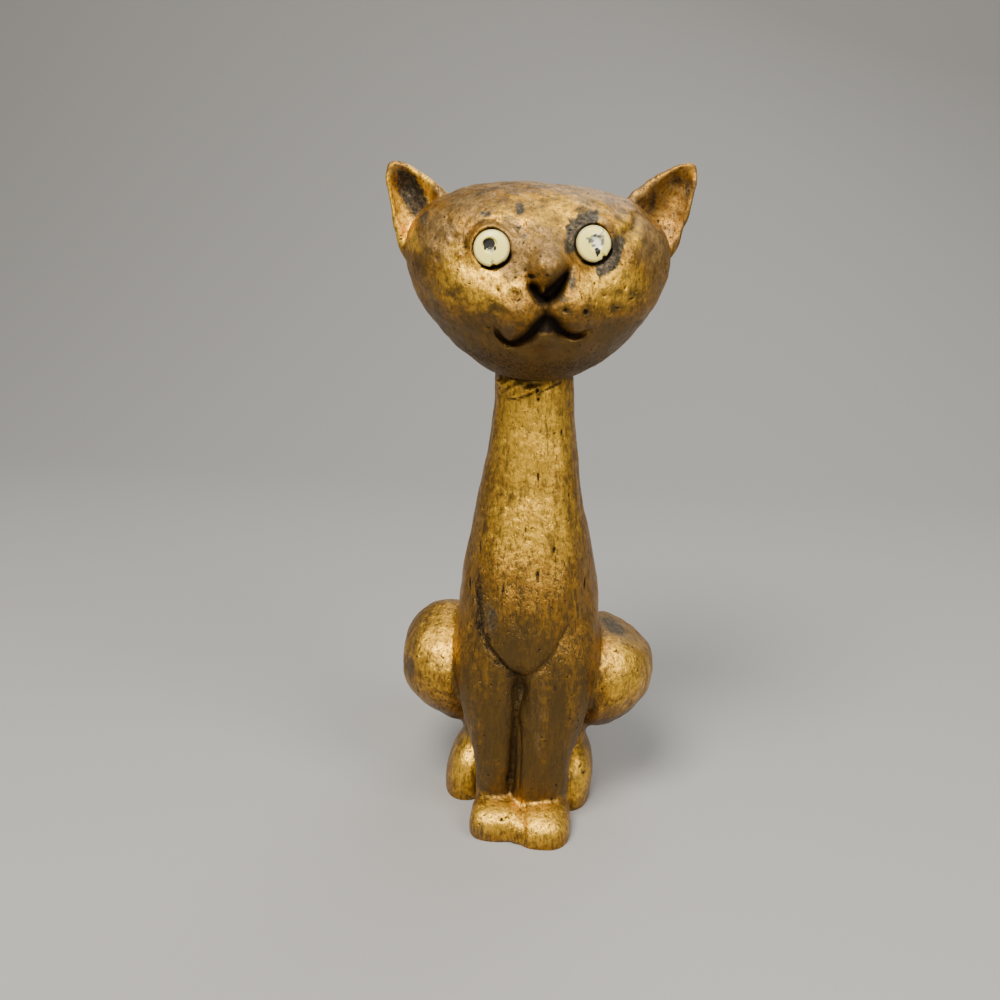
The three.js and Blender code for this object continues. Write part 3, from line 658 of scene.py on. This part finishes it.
def worn_brass(name, drag, stretch, drawn_share, pin_share, roughness):
    """Colours laid over each other by the fields kept on the points: brown gold, rubbed gold that also
    carries painted highlights, tarnish, stains, umber that also carries painted shade, age and bare grey,
    then drawn marks, pinholes, and dirt that also carries painted shade, with gloss and relief to suit
    each. Drag and stretch, below 1, draw the mottling and the marks out up the piece. The shares say how
    much of it the marks and pinholes take up, and the roughness is the least that the metal has."""
    material, tree, shader, places = new_material(name)
    dragged = vector_maths(tree, "MULTIPLY", places, (1.0, 1.0, drag))
    masks = {"mottle": noise_at(tree, dragged, 190.0, 5.0, 0.62), "fine": noise_at(tree, places, 2200.0, 3.0)}
    for field, numbers in KEPT_PATCHES.items():
        masks[field] = ragged(tree, dragged if field == "dull" else places, kept(tree, field), *numbers)
    for patch, numbers in EVEN_PATCHES.items():
        masks[patch] = ragged(tree, places, *numbers)
    marks = {"Stretch": stretch, "Share": drawn_share}
    masks["drawn"] = grouped(tree, DRAWN_MARKS, places, Scale=1150.0, **marks)
    marks = {"Stretch": 0.6 * stretch, "Share": drawn_share - 0.04}
    streaks = grouped(tree, DRAWN_MARKS, places, Scale=540.0, **marks)
    masks["holes"] = grouped(tree, PINHOLES, places, Scale=560.0, Share=pin_share, Radius=0.24)
    masks["specks"] = grouped(tree, PINHOLES, dragged, Scale=1350.0, Share=pin_share, Radius=0.34)

    values = {"Value": masks["mottle"], "From Min": 0.3, "From Max": 0.7}
    shade = node(tree, "MapRange", values).outputs[0]
    gilt_and_highlight = masks["gilt_and_highlight"]
    tarnish = times(tree, masks["tarnish"], maths(tree, "MULTIPLY_ADD", gilt_and_highlight, -0.26, 0.7))
    umber_and_shade = times(tree, masks["umber_and_shade"], maths(tree, "MULTIPLY_ADD", shade, -0.22, 0.98))
    drawn = times(tree, masks["drawn"], maths(tree, "MULTIPLY_ADD", gilt_and_highlight, -0.34, 0.74))
    colour = laid_over(tree, UMBER_AND_SHADE, BROWN_GOLD, maths(tree, "MULTIPLY_ADD", shade, 0.5, 0.5))
    aged = laid_over(tree, AGED, DARK_AGED, times(tree, masks["freckles"], 0.8))
    layers = [
        (GOLD_AND_HIGHLIGHT, times(tree, gilt_and_highlight, 0.95)),
        (TARNISH, tarnish),
        (UMBER_AND_SHADE, times(tree, masks["stains"], 0.55)),
        (UMBER_AND_SHADE, umber_and_shade),
        (aged, times(tree, masks["dull"], 0.8)),
        (laid_over(tree, BARE_GREY, WORN_GREY, masks["worn"]), masks["bare"]),
        (UMBER_AND_SHADE, drawn),
        (UMBER_AND_SHADE, times(tree, streaks, 0.62)),
        (UMBER_AND_SHADE, times(tree, masks["specks"], 0.8)),
        (DIRT_AND_SHADE, times(tree, masks["holes"], 0.85)),
        (DIRT_AND_SHADE, masks["mark_and_shade"]),
    ]
    for paint, mask in layers:
        colour = laid_over(tree, colour, paint, mask)
    tree.links.new(colour, shader["Base Color"])

    dull = maths(tree, "MAXIMUM", times(tree, masks["dull"], 0.7), masks["bare"])
    gone = maths(tree, "MAXIMUM", masks["mark_and_shade"], masks["holes"])
    tree.links.new(blend(tree, blend(tree, 0.95, 0.7, dull), 0.8, gone), shader["Metallic"])
    grain = noise_at(tree, places, 620.0, 6.0, 0.7)
    values = {"Value": grain, "From Min": 0.25, "From Max": 0.75}
    values |= {"To Min": roughness, "To Max": roughness + 0.24}
    rough = blend(tree, node(tree, "MapRange", values).outputs[0], 0.52, dull)
    tree.links.new(blend(tree, rough, 0.75, gone), shader["Roughness"])

    height = times(tree, grain, 1.1)
    for pattern, depth in RELIEF.items():
        height = maths(tree, "SUBTRACT", height, times(tree, masks[pattern], depth))
    bump = node(tree, "Bump", {"Height": height, "Strength": 0.7, "Distance": RELIEF_REACH})
    tree.links.new(bump.outputs[0], shader["Normal"])
    return material


# On the body the mottling and the marks are drawn out up the neck and the legs.
body.data.materials.append(
    worn_brass("worn_brass_body", drag=0.3, stretch=0.22, drawn_share=0.5, pin_share=0.36, roughness=0.26)
)
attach(body, "root")
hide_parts("body_casting")

# Head: the skull, both ears and the carved face, cast apart from the body, turned a little to the
# cat's left and tilted, and brazed on the neck's top. Its forms are in its own upright frame.
HEAD_TURN = 7.0
HEAD_TILT = 1.7
HEAD_MIDDLE = 83.0
HEAD_VOXEL = 0.00048
# Height, half width, reach forward, reach back.
HEAD = [
    [69.4, 4.2, 6.2, 4.2], [70.2, 6.9, 9, 6.7], [71.7, 9.3, 11.1, 9.1], [73.7, 12, 12.9, 11.4],
    [76.3, 14.5, 14.2, 13.4], [79.3, 16.8, 15.1, 14.9], [82.3, 18.3, 15.5, 15.7],
    [85.3, 19.2, 15.5, 15.9], [88.4, 19.3, 15, 15.7], [91.4, 18.1, 13.6, 14.5],
    [93.9, 15.4, 11.4, 12.4], [95.7, 12, 8.6, 9.3], [96.9, 6.8, 4.9, 5.6], [97.25, 1.2, 0.9, 1],
]
# Height over the root line, half width along it, the middle's shift up along it, the back's thickness.
EAR_ROWS = [
    [-4.5, 6, -0.6, 3.6], [0, 5.5, 0.2, 3.2], [3.2, 4.6, 1.2, 2.6], [6, 3.2, 2.3, 2], [8, 2, 3, 1.5],
    [9.2, 0.9, 3.4, 0.8], [9.6, 0.25, 3.5, 0.3],
]
EAR_RIM = 1.2
EAR_HOLLOW = 2.5
# Middle x and z of each eye, and how far it looks aside, in degrees.
EYES = {"right": (-7.2, 88.3, -12), "left": (6.4, 89.6, 12)}
# How far the eyes look up, in degrees, and their radius.
EYE_LIFT = 9
EYE_RADIUS = 2.45
NOSE = [0.1, 86.3]
MUZZLE = [[-3.3, 80.2], [4, 81]]
MOUTH = [[-6.4, 77.7], [-5.5, 76.4], [-3.9, 75.6], [-1.9, 77], [0.5, 79.3]]
MOUTH += [[2.8, 77.8], [4.9, 77.2], [6.6, 78]]
# Along the mouth and under the nose, the place where the line is widest.
MOUTH_WIDEST = 0.57
NOSE_WIDEST = 0.62
UNDER_NOSE = [[-2.1, 84.3], [0.1, 82.2], [3.3, 86.3]]
PHILTRUM = [[0.2, 82.4], [0.5, 79.6]]
LOWER_LIP = [0.6, 76.9]
BROW_CREASE = [[12.8, 94.2], [12.5, 92.6], [11.4, 91.4], [10.2, 91.2]]
CRATER = [-3.9, 82.7]
# Blots on the face: middle x and z, half width and half height, strength. Pits, bumps, then what is
# rubbed bright, partly as painted highlight, dull with age, bare of colour and dark brown, and the dark
# marks in the left ear.
FACE_PITS = [
    [5.7, 80.8, 0.5, 0.5, 1.2], [2.9, 80.9, 0.5, 0.4, 1], [-6.1, 83, 0.25, 0.25, 0.8],
    [10.4, 81.2, 0.8, 0.3, 0.8], [13, 83.5, 0.7, 0.35, 0.7], [-1.9, 85.1, 0.6, 0.4, 1.3],
    [-2.7, 85.8, 0.35, 0.4, 0.9], [-10.7, 88.2, 0.6, 0.5, 0.9], [-13.2, 91.4, 0.4, 0.9, 0.7],
    [-12.2, 89.5, 0.7, 0.5, 0.7], [-14.6, 86.4, 0.4, 0.5, 0.7], [-4.4, 75, 0.3, 0.25, 0.8],
    [8.3, 83, 0.26, 0.2, 0.9], [11.2, 84, 0.25, 0.34, 0.9], [12.5, 82.5, 0.6, 0.3, 0.9],
    [7, 82.1, 0.2, 0.2, 0.8], [9.4, 85, 0.24, 0.18, 0.8], [-8.3, 84.2, 0.24, 0.2, 0.8],
    [-6.9, 81.4, 0.3, 0.22, 0.8],
]
FACE_BUMPS = [
    [-11.7, 87.3, 0.7, 0.7, 1], [13.2, 90.7, 1.2, 1, 1], [12.2, 88.4, 0.9, 1.2, 0.8],
    [11, 92.6, 1.4, 1, 0.8], [-1, 88, 0.5, 1.2, 0.5], [1.4, 87.4, 0.5, 0.9, 0.5],
]
FACE_GILT_AND_HIGHLIGHTS = [
    [-9.4, 83.6, 5, 3.2, 1.1], [-5, 83.6, 2.6, 1.8, 0.8], [9.8, 84.2, 5, 3.2, 1.1],
    [6.2, 84, 2.4, 1.8, 0.8], [11.8, 91.6, 2.4, 2.6, 1], [2, 93.6, 8, 3.4, 0.76],
    [-5, 92.8, 3.4, 2, 0.7], [-12.6, 86.6, 2.4, 3.4, 0.7], [0.6, 77.8, 0.6, 0.5, 0.8],
]
FACE_DULL = [
    [-15, 90, 3.2, 5, 0.85], [-11, 94, 5, 2.4, 0.85], [0.2, 89, 3.2, 4.2, 0.85],
    [-3, 87.6, 1.6, 3, 0.8], [15.6, 90.6, 3.4, 5, 0.9], [17, 84.5, 2.2, 5, 0.7], [8, 95.6, 5, 1, 0.8],
    [-15.8, 82, 2.4, 4, 0.6],
]
FACE_BARE = [
    [-3.6, 93.7, 0.75, 1.2, 1], [-8.2, 92.6, 1, 0.6, 0.8], [6.2, 96.1, 1.8, 0.5, 0.8],
    [9.7, 95.6, 0.9, 0.8, 0.8], [-3.8, 91.2, 0.7, 0.5, 0.8], [-2.9, 90.2, 0.5, 0.7, 0.7],
    [3.7, 84.8, 0.9, 2.2, 0.7], [2.4, 82.4, 0.8, 0.8, 0.6],
]
FACE_UMBER = [
    [10.2, 81.2, 2, 1.3, 0.8], [12.8, 83.2, 1.6, 1.4, 0.7], [2.8, 80.9, 1.7, 1.1, 0.75],
    [5.8, 80.5, 1.1, 1.1, 0.9], [11.6, 91.2, 1.5, 2.2, 0.62], [9.2, 95, 2.2, 1, 0.7],
    [2.6, 96, 2.6, 0.9, 0.65], [-0.6, 94.6, 1.4, 1.2, 0.5], [-3.9, 82.7, 0.9, 0.8, 0.7],
    [-11.2, 89, 1.8, 1.8, 0.66], [-13.8, 91.2, 1.2, 2.2, 0.6], [-11.8, 82.4, 2.4, 1.3, 0.72],
    [-17.2, 84.4, 1.6, 2.6, 0.66], [-6.4, 80.6, 2.2, 1.4, 0.66], [-3, 78.8, 1.6, 1.2, 0.8],
    [-8.6, 91.7, 2.4, 0.7, 0.7], [1.4, 85.5, 2.2, 1.4, 0.7], [9.4, 83.4, 3, 1, 0.56],
]
EAR_MARKS = [
    [16.2, 95.6, 0.9, 2.2, 1.1], [21.3, 97.6, 0.6, 1.8, 1], [19.9, 98.6, 1.5, 1, 0.9],
    [17.6, 91.6, 1.1, 1.6, 0.8],
]


def ear_rings(side, root, lean, reach, levels=90, around=120):
    """A leaf across the head: flat ovals along a root line, with a thin rim and a scooped hollow in
    front and a round back."""
    height, half, shift, back = np.moveaxis(along(EAR_ROWS, np.linspace(0, 1, levels)), 1, 0)[..., None]
    turn = np.linspace(0, 2 * math.pi, around, endpoint=False)
    edge, facing = np.cos(turn), np.sin(turn)
    rim = EAR_RIM * np.abs(facing) ** 0.6 * np.minimum(1, half / 2)
    hollow = EAR_HOLLOW * np.clip(1 - (edge / 0.8) ** 2, 0, None) * ramp(half, 0.6, 4)
    y = np.where(facing > 0, hollow - rim, back * np.abs(facing))
    rise = np.array([math.cos(math.radians(lean)), math.sin(math.radians(lean))])
    up = reach * height + 0 * turn
    over = shift + half * edge
    x = root[0] + up * rise[0] - over * rise[1]
    z = root[2] + up * rise[1] + over * rise[0]
    rings = np.stack([side * x, root[1] + y, z], axis=2)
    return rings[:, ::-1] if side < 0 else rings


def plain_front(x, z):
    """How far forward the plain skull reaches at a point of its front."""
    t = np.linspace(0, 1, 400)
    rows = along(HEAD, t)
    half = np.interp(z, rows[:, 0], rows[:, 1])
    front = np.interp(z, rows[:, 0], rows[:, 2])
    return front * np.sqrt(np.clip(1 - (x / half) ** 2, 0, None))


def ring_zone(x, z, eye, inner, outer, start, stop, fray=0.4):
    """1 in part of a ring round an eye, between two radii and two directions in degrees, with soft
    edges. The outer edge fades over the fray."""
    away = np.hypot(x - eye[0], z - eye[1])
    middle, half = math.radians((start + stop) / 2), math.radians((stop - start) / 2)
    off = np.abs(np.angle(np.exp(1j * (np.arctan2(z - eye[1], x - eye[0]) - middle))))
    fade = (1 - ramp(away, outer - fray, outer)) * (1 - ramp(off, half - 0.3, half))
    return ramp(away, inner - 0.15, inner) * fade


def face_relief(x, z):
    """How far the carved face stands out of the plain skull: hills for the nose, muzzle, lip, cheeks and
    brows, strokes for the mouth and the lines under the nose, and small pits."""
    from_nose = np.hypot(x - NOSE[0], z - NOSE[1])
    out = 1.5 * hill(from_nose, 3.2) + 1.1 * np.sqrt(np.clip(1 - (from_nose / 2.6) ** 2, 0, None))
    out += 1.2 * hill(x - NOSE[0], 2.8) * ramp(z, 83, 87) * (1 - ramp(z, 87, 94))
    for pad in MUZZLE:
        out += 2.8 * hill(np.hypot(x - pad[0], z - pad[1]), 3.4)
    out += 1.5 * hill(np.hypot(x - LOWER_LIP[0], z - LOWER_LIP[1]), 2.0)
    out += 0.9 * hill(np.hypot(np.abs(x) - 10.5, z - 82), 5)
    out += 0.8 * hill(np.hypot((np.abs(x) - 6.8) * 0.55, z - 93), 2.2)
    out -= 1.7 * stroke(MOUTH, x, z, 0.34, 0.62, MOUTH_WIDEST)
    out -= 1.9 * stroke(UNDER_NOSE, x, z, 0.5, 0.5, NOSE_WIDEST)
    out -= 0.9 * stroke(PHILTRUM, x, z, 0.42)
    out -= 0.5 * stroke(BROW_CREASE, x, z, 0.75)
    for eye_x, eye_z, _ in EYES.values():
        out -= 0.7 * hill(np.hypot(x - eye_x, z - eye_z), 3.8)
    crater = np.hypot(x - CRATER[0], z - CRATER[1])
    out += 0.13 * hill(crater - 0.9, 0.35) - 0.55 * hill(crater, 0.42)
    on_face = np.stack([x, z], axis=-1)
    return out - 0.42 * blots(on_face, FACE_PITS) + 0.4 * blots(on_face, FACE_BUMPS)


def head_turned(points):
    """Points of the head's own frame, in the figure's frame: tilted and turned about its middle."""
    turn = Matrix.Rotation(math.radians(HEAD_TURN), 3, "Z")
    turn = turn @ Matrix.Rotation(math.radians(HEAD_TILT), 3, "Y")
    return (points - [0, 0, HEAD_MIDDLE]) @ np.array(turn).T + [0, 0, HEAD_MIDDLE]


head = fused(
    "cat_head",
    [
        shell(oval_rings(HEAD, 220, 300)),
        shell(ear_rings(-1, [16.6, 1.2, 90.2], 36, 1.0)),
        shell(ear_rings(1, [16.7, 1.2, 92.0], 39, 1.04)),
    ],
    HEAD_VOXEL,
    8,
)
# Relief: the carved face, lumps all over, and at each eye a flat seat, a gap below and a lid above.
at = points_of(head)
outward = outward_of(head)
x, y, z = at.T
on_front = at[:, [0, 2]]
in_front = ramp(-outward[:, 1], 0.05, 0.5) * ramp(-y, 1.5, 5.0)
head_points = at.copy()
head_points[:, 1] -= face_relief(x, z) * in_front
swell = 0.08 * lumps(at, 8, 11) + 0.05 * lumps(at, 3.4, 12) + 0.022 * lumps(at, 1.4, 13)
head_points += outward * (swell * ramp(z, 70, 73))[:, None]
bare = np.maximum(blots(on_front, FACE_BARE) * in_front, 0)
shadow = np.zeros(len(at))
for side, (eye_x, eye_z, eye_out) in EYES.items():
    rim = EYE_RADIUS + 0.2
    away = np.hypot(x - eye_x, z - eye_z)
    flat = (x - eye_x) * math.tan(math.radians(eye_out)) + (z - eye_z) * math.tan(math.radians(EYE_LIFT))
    flat -= plain_front(eye_x, eye_z)
    dress = (1 - ramp(away, rim, 1.5 * rim)) * in_front
    head_points[:, 1] += (flat - head_points[:, 1]) * dress
    head_points[:, 1] += 0.4 * (1 - ramp(away, EYE_RADIUS, EYE_RADIUS + 0.25)) * in_front
    # The gap under each disc's lower side is also painted black, as the disc's shadow.
    gap = ring_zone(x, z, (eye_x, eye_z), EYE_RADIUS - 0.1, EYE_RADIUS + 0.62, -130, -2) * in_front
    head_points[:, 1] += 0.3 * gap
    shadow = np.maximum(shadow, gap)
    lid = ring_zone(x, z, (eye_x, eye_z), 3.2, 4.1, 20, 165) * in_front
    head_points[:, 1] += 0.16 * lid
left_eye = EYES["left"]
teeth = np.abs(np.sin(10 * np.arctan2(z - left_eye[1], x - left_eye[0]))) * ramp(z - left_eye[1], 1.5, 3)
outer = 4.7 + 0.5 * teeth + 0.12 * lumps(at, 3, 15)
bare = np.maximum(bare, ring_zone(x, z, left_eye, EYE_RADIUS, outer, 72, 212, 1.2) * in_front)
bare = np.maximum(bare, ring_zone(x, z, left_eye, EYE_RADIUS, outer + 0.5, -90, 26, 1.4) * in_front)
pale_side = ring_zone(x, z, EYES["right"], EYE_RADIUS, 5.2, -75, 80) * in_front
# The right ear's hollow has lost its colour, and its outer wall is rubbed bright.
ear_side = ramp(np.abs(x), 15.0, 16.5) * ramp(z, 86, 88)
hollow = ear_side * ramp(-outward[:, 1], 0.1, 0.35)
right_hollow = hollow * (x < 0)
from_axis = (x + 18.2) * math.sin(math.radians(60)) + (z - 93.8) * math.cos(math.radians(60))
bare = np.maximum(bare, right_hollow * hill(from_axis, 1.9) * hill(np.hypot(x + 18.7, z - 94.4), 4.3) * 1.4)
# The fields that the brass reads. The jaw and chin get painted shade, and so does the hollow under the middle
# of the mouth; the lines and pits of the face are dark.
jaw_shade = 1.25 * (1 - ramp(z - 0.06 * np.abs(x) + 0.5 * lumps(at, 4, 16), 73, 84))
mouth = stroke(MOUTH, x, z, 0.3, 0.52, MOUTH_WIDEST) * in_front
mouth_side = stroke(MOUTH, x, z, 0.75, 0.7, MOUTH_WIDEST) * in_front
under_nose = stroke(UNDER_NOSE, x, z, 0.6, 0.5, NOSE_WIDEST) * in_front
nose_side = stroke(UNDER_NOSE, x, z, 1.1, 0.7, 0.6) * in_front
philtrum = stroke(PHILTRUM, x, z, 0.4) * in_front
crease = stroke(BROW_CREASE, x, z, 0.75) * in_front
pits = blots(on_front, FACE_PITS) * in_front
ear_marks = blots(on_front, EAR_MARKS) * hollow
ear_walls = right_hollow * ramp(np.abs(from_axis + 0.3), 0.9, 2.2)
keep(head, "gilt_and_highlight", np.maximum(blots(on_front, FACE_GILT_AND_HIGHLIGHTS) * in_front, ear_walls))
crater_ring = 0.56 * hill(np.hypot(x - CRATER[0], z - CRATER[1]) - 0.8, 0.34) * in_front
mottles = (0.4 + 0.2 * lumps(at, 2.6, 17)) * ramp(z, 85, 91) * (1 - ear_side)
mouth_shade = blots(on_front, [[0.5, 78.1, 2.2, 0.75, 1.0]]) * in_front
creases = [0.95 * mouth_side, nose_side, philtrum, 0.75 * crease, 0.9 * ear_marks, mouth_shade, 0.8 * pits]
keep(head, "umber_and_shade", np.max([jaw_shade, mottles, *creases, blots(on_front, FACE_UMBER) * in_front], axis=0))
elsewhere = 0.62 * (1 - in_front) * (1 - ear_side) + 0.42 * hollow * (x > 0)
keep(head, "dull", np.max([blots(on_front, FACE_DULL) * in_front, elsewhere, 0.85 * pale_side], axis=0))
keep(head, "bare", bare)
deep_mouth = mouth * (0.5 + 0.65 * hill(x - 0.6, 3.2))
socket = 0.75 * (1 - ramp(z, 69.5, 70.0))
grooves = [deep_mouth, 0.8 * mouth_shade, under_nose, 0.5 * philtrum, 0.46 * crease, 0.55 * ear_marks]
# Painted shade under the chin.
chin_shade = 0.46 * (1 - ramp(z - 0.1 * np.abs(x), 71.5, 78.0))
keep(head, "mark_and_shade", np.max([*grooves, crater_ring, 0.76 * pits, 0.9 * shadow, socket, chin_shade], axis=0))
move_points(head, head_turned(head_points))
head.data.materials.append(
    worn_brass("worn_brass_head", drag=1.0, stretch=0.5, drawn_share=0.47, pin_share=0.46, roughness=0.32)
)
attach(head, "root")
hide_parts("head_casting")

# Eyes: two turned discs with a low crown and a drilled pupil, enamelled cream and cemented in the
# face. Both are chipped at the lower edge. The right pupil is black, and the left one is overpainted.
EYE_EDGE = 0.75
EYE_CROWN = 0.35
EYE_SINK = 0.25
PUPIL_RADIUS = 1.05
PUPIL_DEPTH = 0.4
# Below this height the back and the wall's foot are black.
DISC_BACK = 0.3
PUPIL_ASIDE = {"right": (-0.2, 0.32), "left": (0.1, 0.1)}
# Direction in degrees, half width in degrees and depth of each chip in the rim.
EYE_CHIPS = {
    "right": [(-80, 8, 0.34), (-58, 16, 0.14)],
    "left": [(-50, 8, 0.42), (-68, 9, 0.12), (-28, 12, 0.1)],
}
CREAM = (0.98, 0.85, 0.2, 1)
OLD_CREAM = (0.5, 0.42, 0.17, 1)
OVERPAINT = (0.86, 0.84, 0.7, 1)
BLACK = (0.012, 0.011, 0.01, 1)
GREY_STAIN = (0.2, 0.2, 0.16, 1)
# Paint, noise cells in a metre, raggedness and sharpness of each field, from the lowest layer up.
ENAMEL_LAYERS = {
    "rim": (OLD_CREAM, 500.0, 0.8, 2.0),
    "pale": (OVERPAINT, 900.0, 0.7, 7.0),
    "stain": (GREY_STAIN, 1300.0, 1.5, 4.0),
    "black": (BLACK, 1100.0, 0.25, 8.0),
}
# Blots on the discs: middle across and up, half sizes, strength.
EYE_BLACK = {
    "right": [[-0.36, 0.56, 0.82, 0.7, 1.4], [-0.85, 0, 0.25, 0.5, 0.9], [0.5, 0, 0.25, 0.45, 0.9]],
    "left": [[0.42, -1, 0.38, 0.5, 1.4], [0.38, -1.45, 0.18, 0.36, 1.1]],
}
EYE_PALE = {
    "right": [[-0.15, -0.25, 0.5, 0.42, 1]],
    "left": [[0.45, -0.1, 0.62, 0.85, 1.2], [0.2, 0.75, 0.8, 0.7, 1], [-0.4, 0.5, 0.5, 0.4, 0.8]],
}
EYE_STAIN = {
    "right": [[-0.1, -0.2, 0.62, 0.62, 0.72], [-0.35, 1.15, 0.3, 0.3, 0.6]],
    "left": [
        [-0.45, 0.35, 0.55, 0.4, 1], [-1, 0.6, 0.35, 0.22, 1], [-0.1, -0.25, 0.36, 0.26, 1],
        [0.05, 1.1, 0.26, 0.24, 1], [1.15, 0.3, 0.2, 0.8, 1], [0.85, 1, 0.5, 0.2, 1],
    ],
}
# Hairlines in the enamel, across and up.
EYE_CRACKS = {
    "right": [[(0.3, -2.1), (0.2, -1.8), (0.5, -1.6)]],
    "left": [[(1.05, 2.35), (1.2, 1.75), (0.9, 1.3), (0.3, 0.95)]],
}


def disc_rings(side, around=180):
    """A turned profile: back, rounded edge, crown, then the drilled pupil's wall and floor. A chip draws
    the rim in by its depth, on a bell curve of the direction, and the pupil's rings stand aside."""
    turn = np.linspace(0, math.pi / 2, 12)
    edge_r = EYE_RADIUS - 0.25 * (1 - np.cos(turn))
    edge_z = EYE_EDGE - 0.25 * (1 - np.sin(turn))
    face_r = np.linspace(EYE_RADIUS - 0.25, PUPIL_RADIUS + 0.08, 40)[1:]
    crown = EYE_EDGE + EYE_CROWN * (1 - (face_r / EYE_RADIUS) ** 2)
    lip = crown[-1]
    well = lip - PUPIL_DEPTH
    floor_r = np.linspace(PUPIL_RADIUS - 0.05, 0.02, 24)
    r = np.concatenate([[0.02, EYE_RADIUS], edge_r, face_r, [PUPIL_RADIUS], floor_r])[:, None]
    h = np.concatenate([[0, 0], edge_z, crown, [lip - 0.06, well + 0.05], np.full(23, well)])[:, None]
    go = np.linspace(0, 2 * math.pi, around, endpoint=False)
    for direction, half, depth in EYE_CHIPS[side]:
        off = np.degrees(np.abs(np.angle(np.exp(1j * (go - math.radians(direction))))))
        r = r - depth * np.exp(-((off / half) ** 4)) * ramp(r, 1.4, EYE_RADIUS - 0.2)
    aside = (1 - ramp(r, 1.1, 2.1)) * (np.arange(len(h)) > 1)[:, None]
    across, up = PUPIL_ASIDE[side]
    return np.stack([r * np.cos(go) + across * aside, r * np.sin(go) + up * aside, h + 0 * go], axis=2)


def set_on_face(points, eye_x, eye_z, eye_out, depth):
    """Points made with their axis up, laid on the eye's place with the axis out of the face."""
    lay = Matrix.Rotation(math.radians(eye_out), 3, "Z")
    lay = lay @ Matrix.Rotation(math.radians(90 - EYE_LIFT), 3, "X")
    place = np.array([eye_x, -plain_front(eye_x, eye_z), eye_z])
    return (points - [0, 0, depth]) @ np.array(lay).T + place


def eye_enamel():
    """Cream with an old yellow rim, then pale paint, grey stain and black, where the points say."""
    material, tree, shader, places = new_material("cream_enamel")
    colour = CREAM
    masks = {}
    for field, (paint, *numbers) in ENAMEL_LAYERS.items():
        masks[field] = ragged(tree, places, kept(tree, field), *numbers)
        colour = laid_over(tree, colour, paint, masks[field])
    holes = grouped(tree, PINHOLES, places, Scale=900.0, Share=0.06, Radius=0.3)
    colour = laid_over(tree, colour, GREY_STAIN, holes)
    tree.links.new(colour, shader["Base Color"])
    tree.links.new(blend(tree, 0.34, 0.6, masks["stain"]), shader["Roughness"])
    height = maths(tree, "ADD", noise_at(tree, places, 700.0, 3.0), times(tree, masks["pale"], 1.2))
    bump = node(tree, "Bump", {"Height": height, "Strength": 0.4, "Distance": 0.00015})
    tree.links.new(bump.outputs[0], shader["Normal"])
    return material


enamel = eye_enamel()
for side, (eye_x, eye_z, eye_out) in EYES.items():
    points, faces = shell(disc_rings(side))
    placed = head_turned(set_on_face(points, eye_x, eye_z, eye_out, EYE_SINK))
    disc = bpy.data.objects.new("cat_eye_" + side, mesh_of("cat_eye_" + side, [(placed, faces)]))
    collection.objects.link(disc)
    disc.data.shade_smooth()
    disc.data.materials.append(enamel)
    flat = points[:, :2]
    crack = np.max([stroke(line, points[:, 0], points[:, 1], 0.07) for line in EYE_CRACKS[side]], axis=0)
    keep(disc, "rim", ramp(np.hypot(*flat.T), EYE_RADIUS - 0.5, EYE_RADIUS + 0.05))
    keep(disc, "pale", blots(flat, EYE_PALE[side]))
    keep(disc, "stain", np.maximum(blots(flat, EYE_STAIN[side]), crack))
    keep(disc, "black", np.maximum(blots(flat, EYE_BLACK[side]), points[:, 2] < DISC_BACK))
    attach(disc, "root")
    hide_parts("eye_" + side)
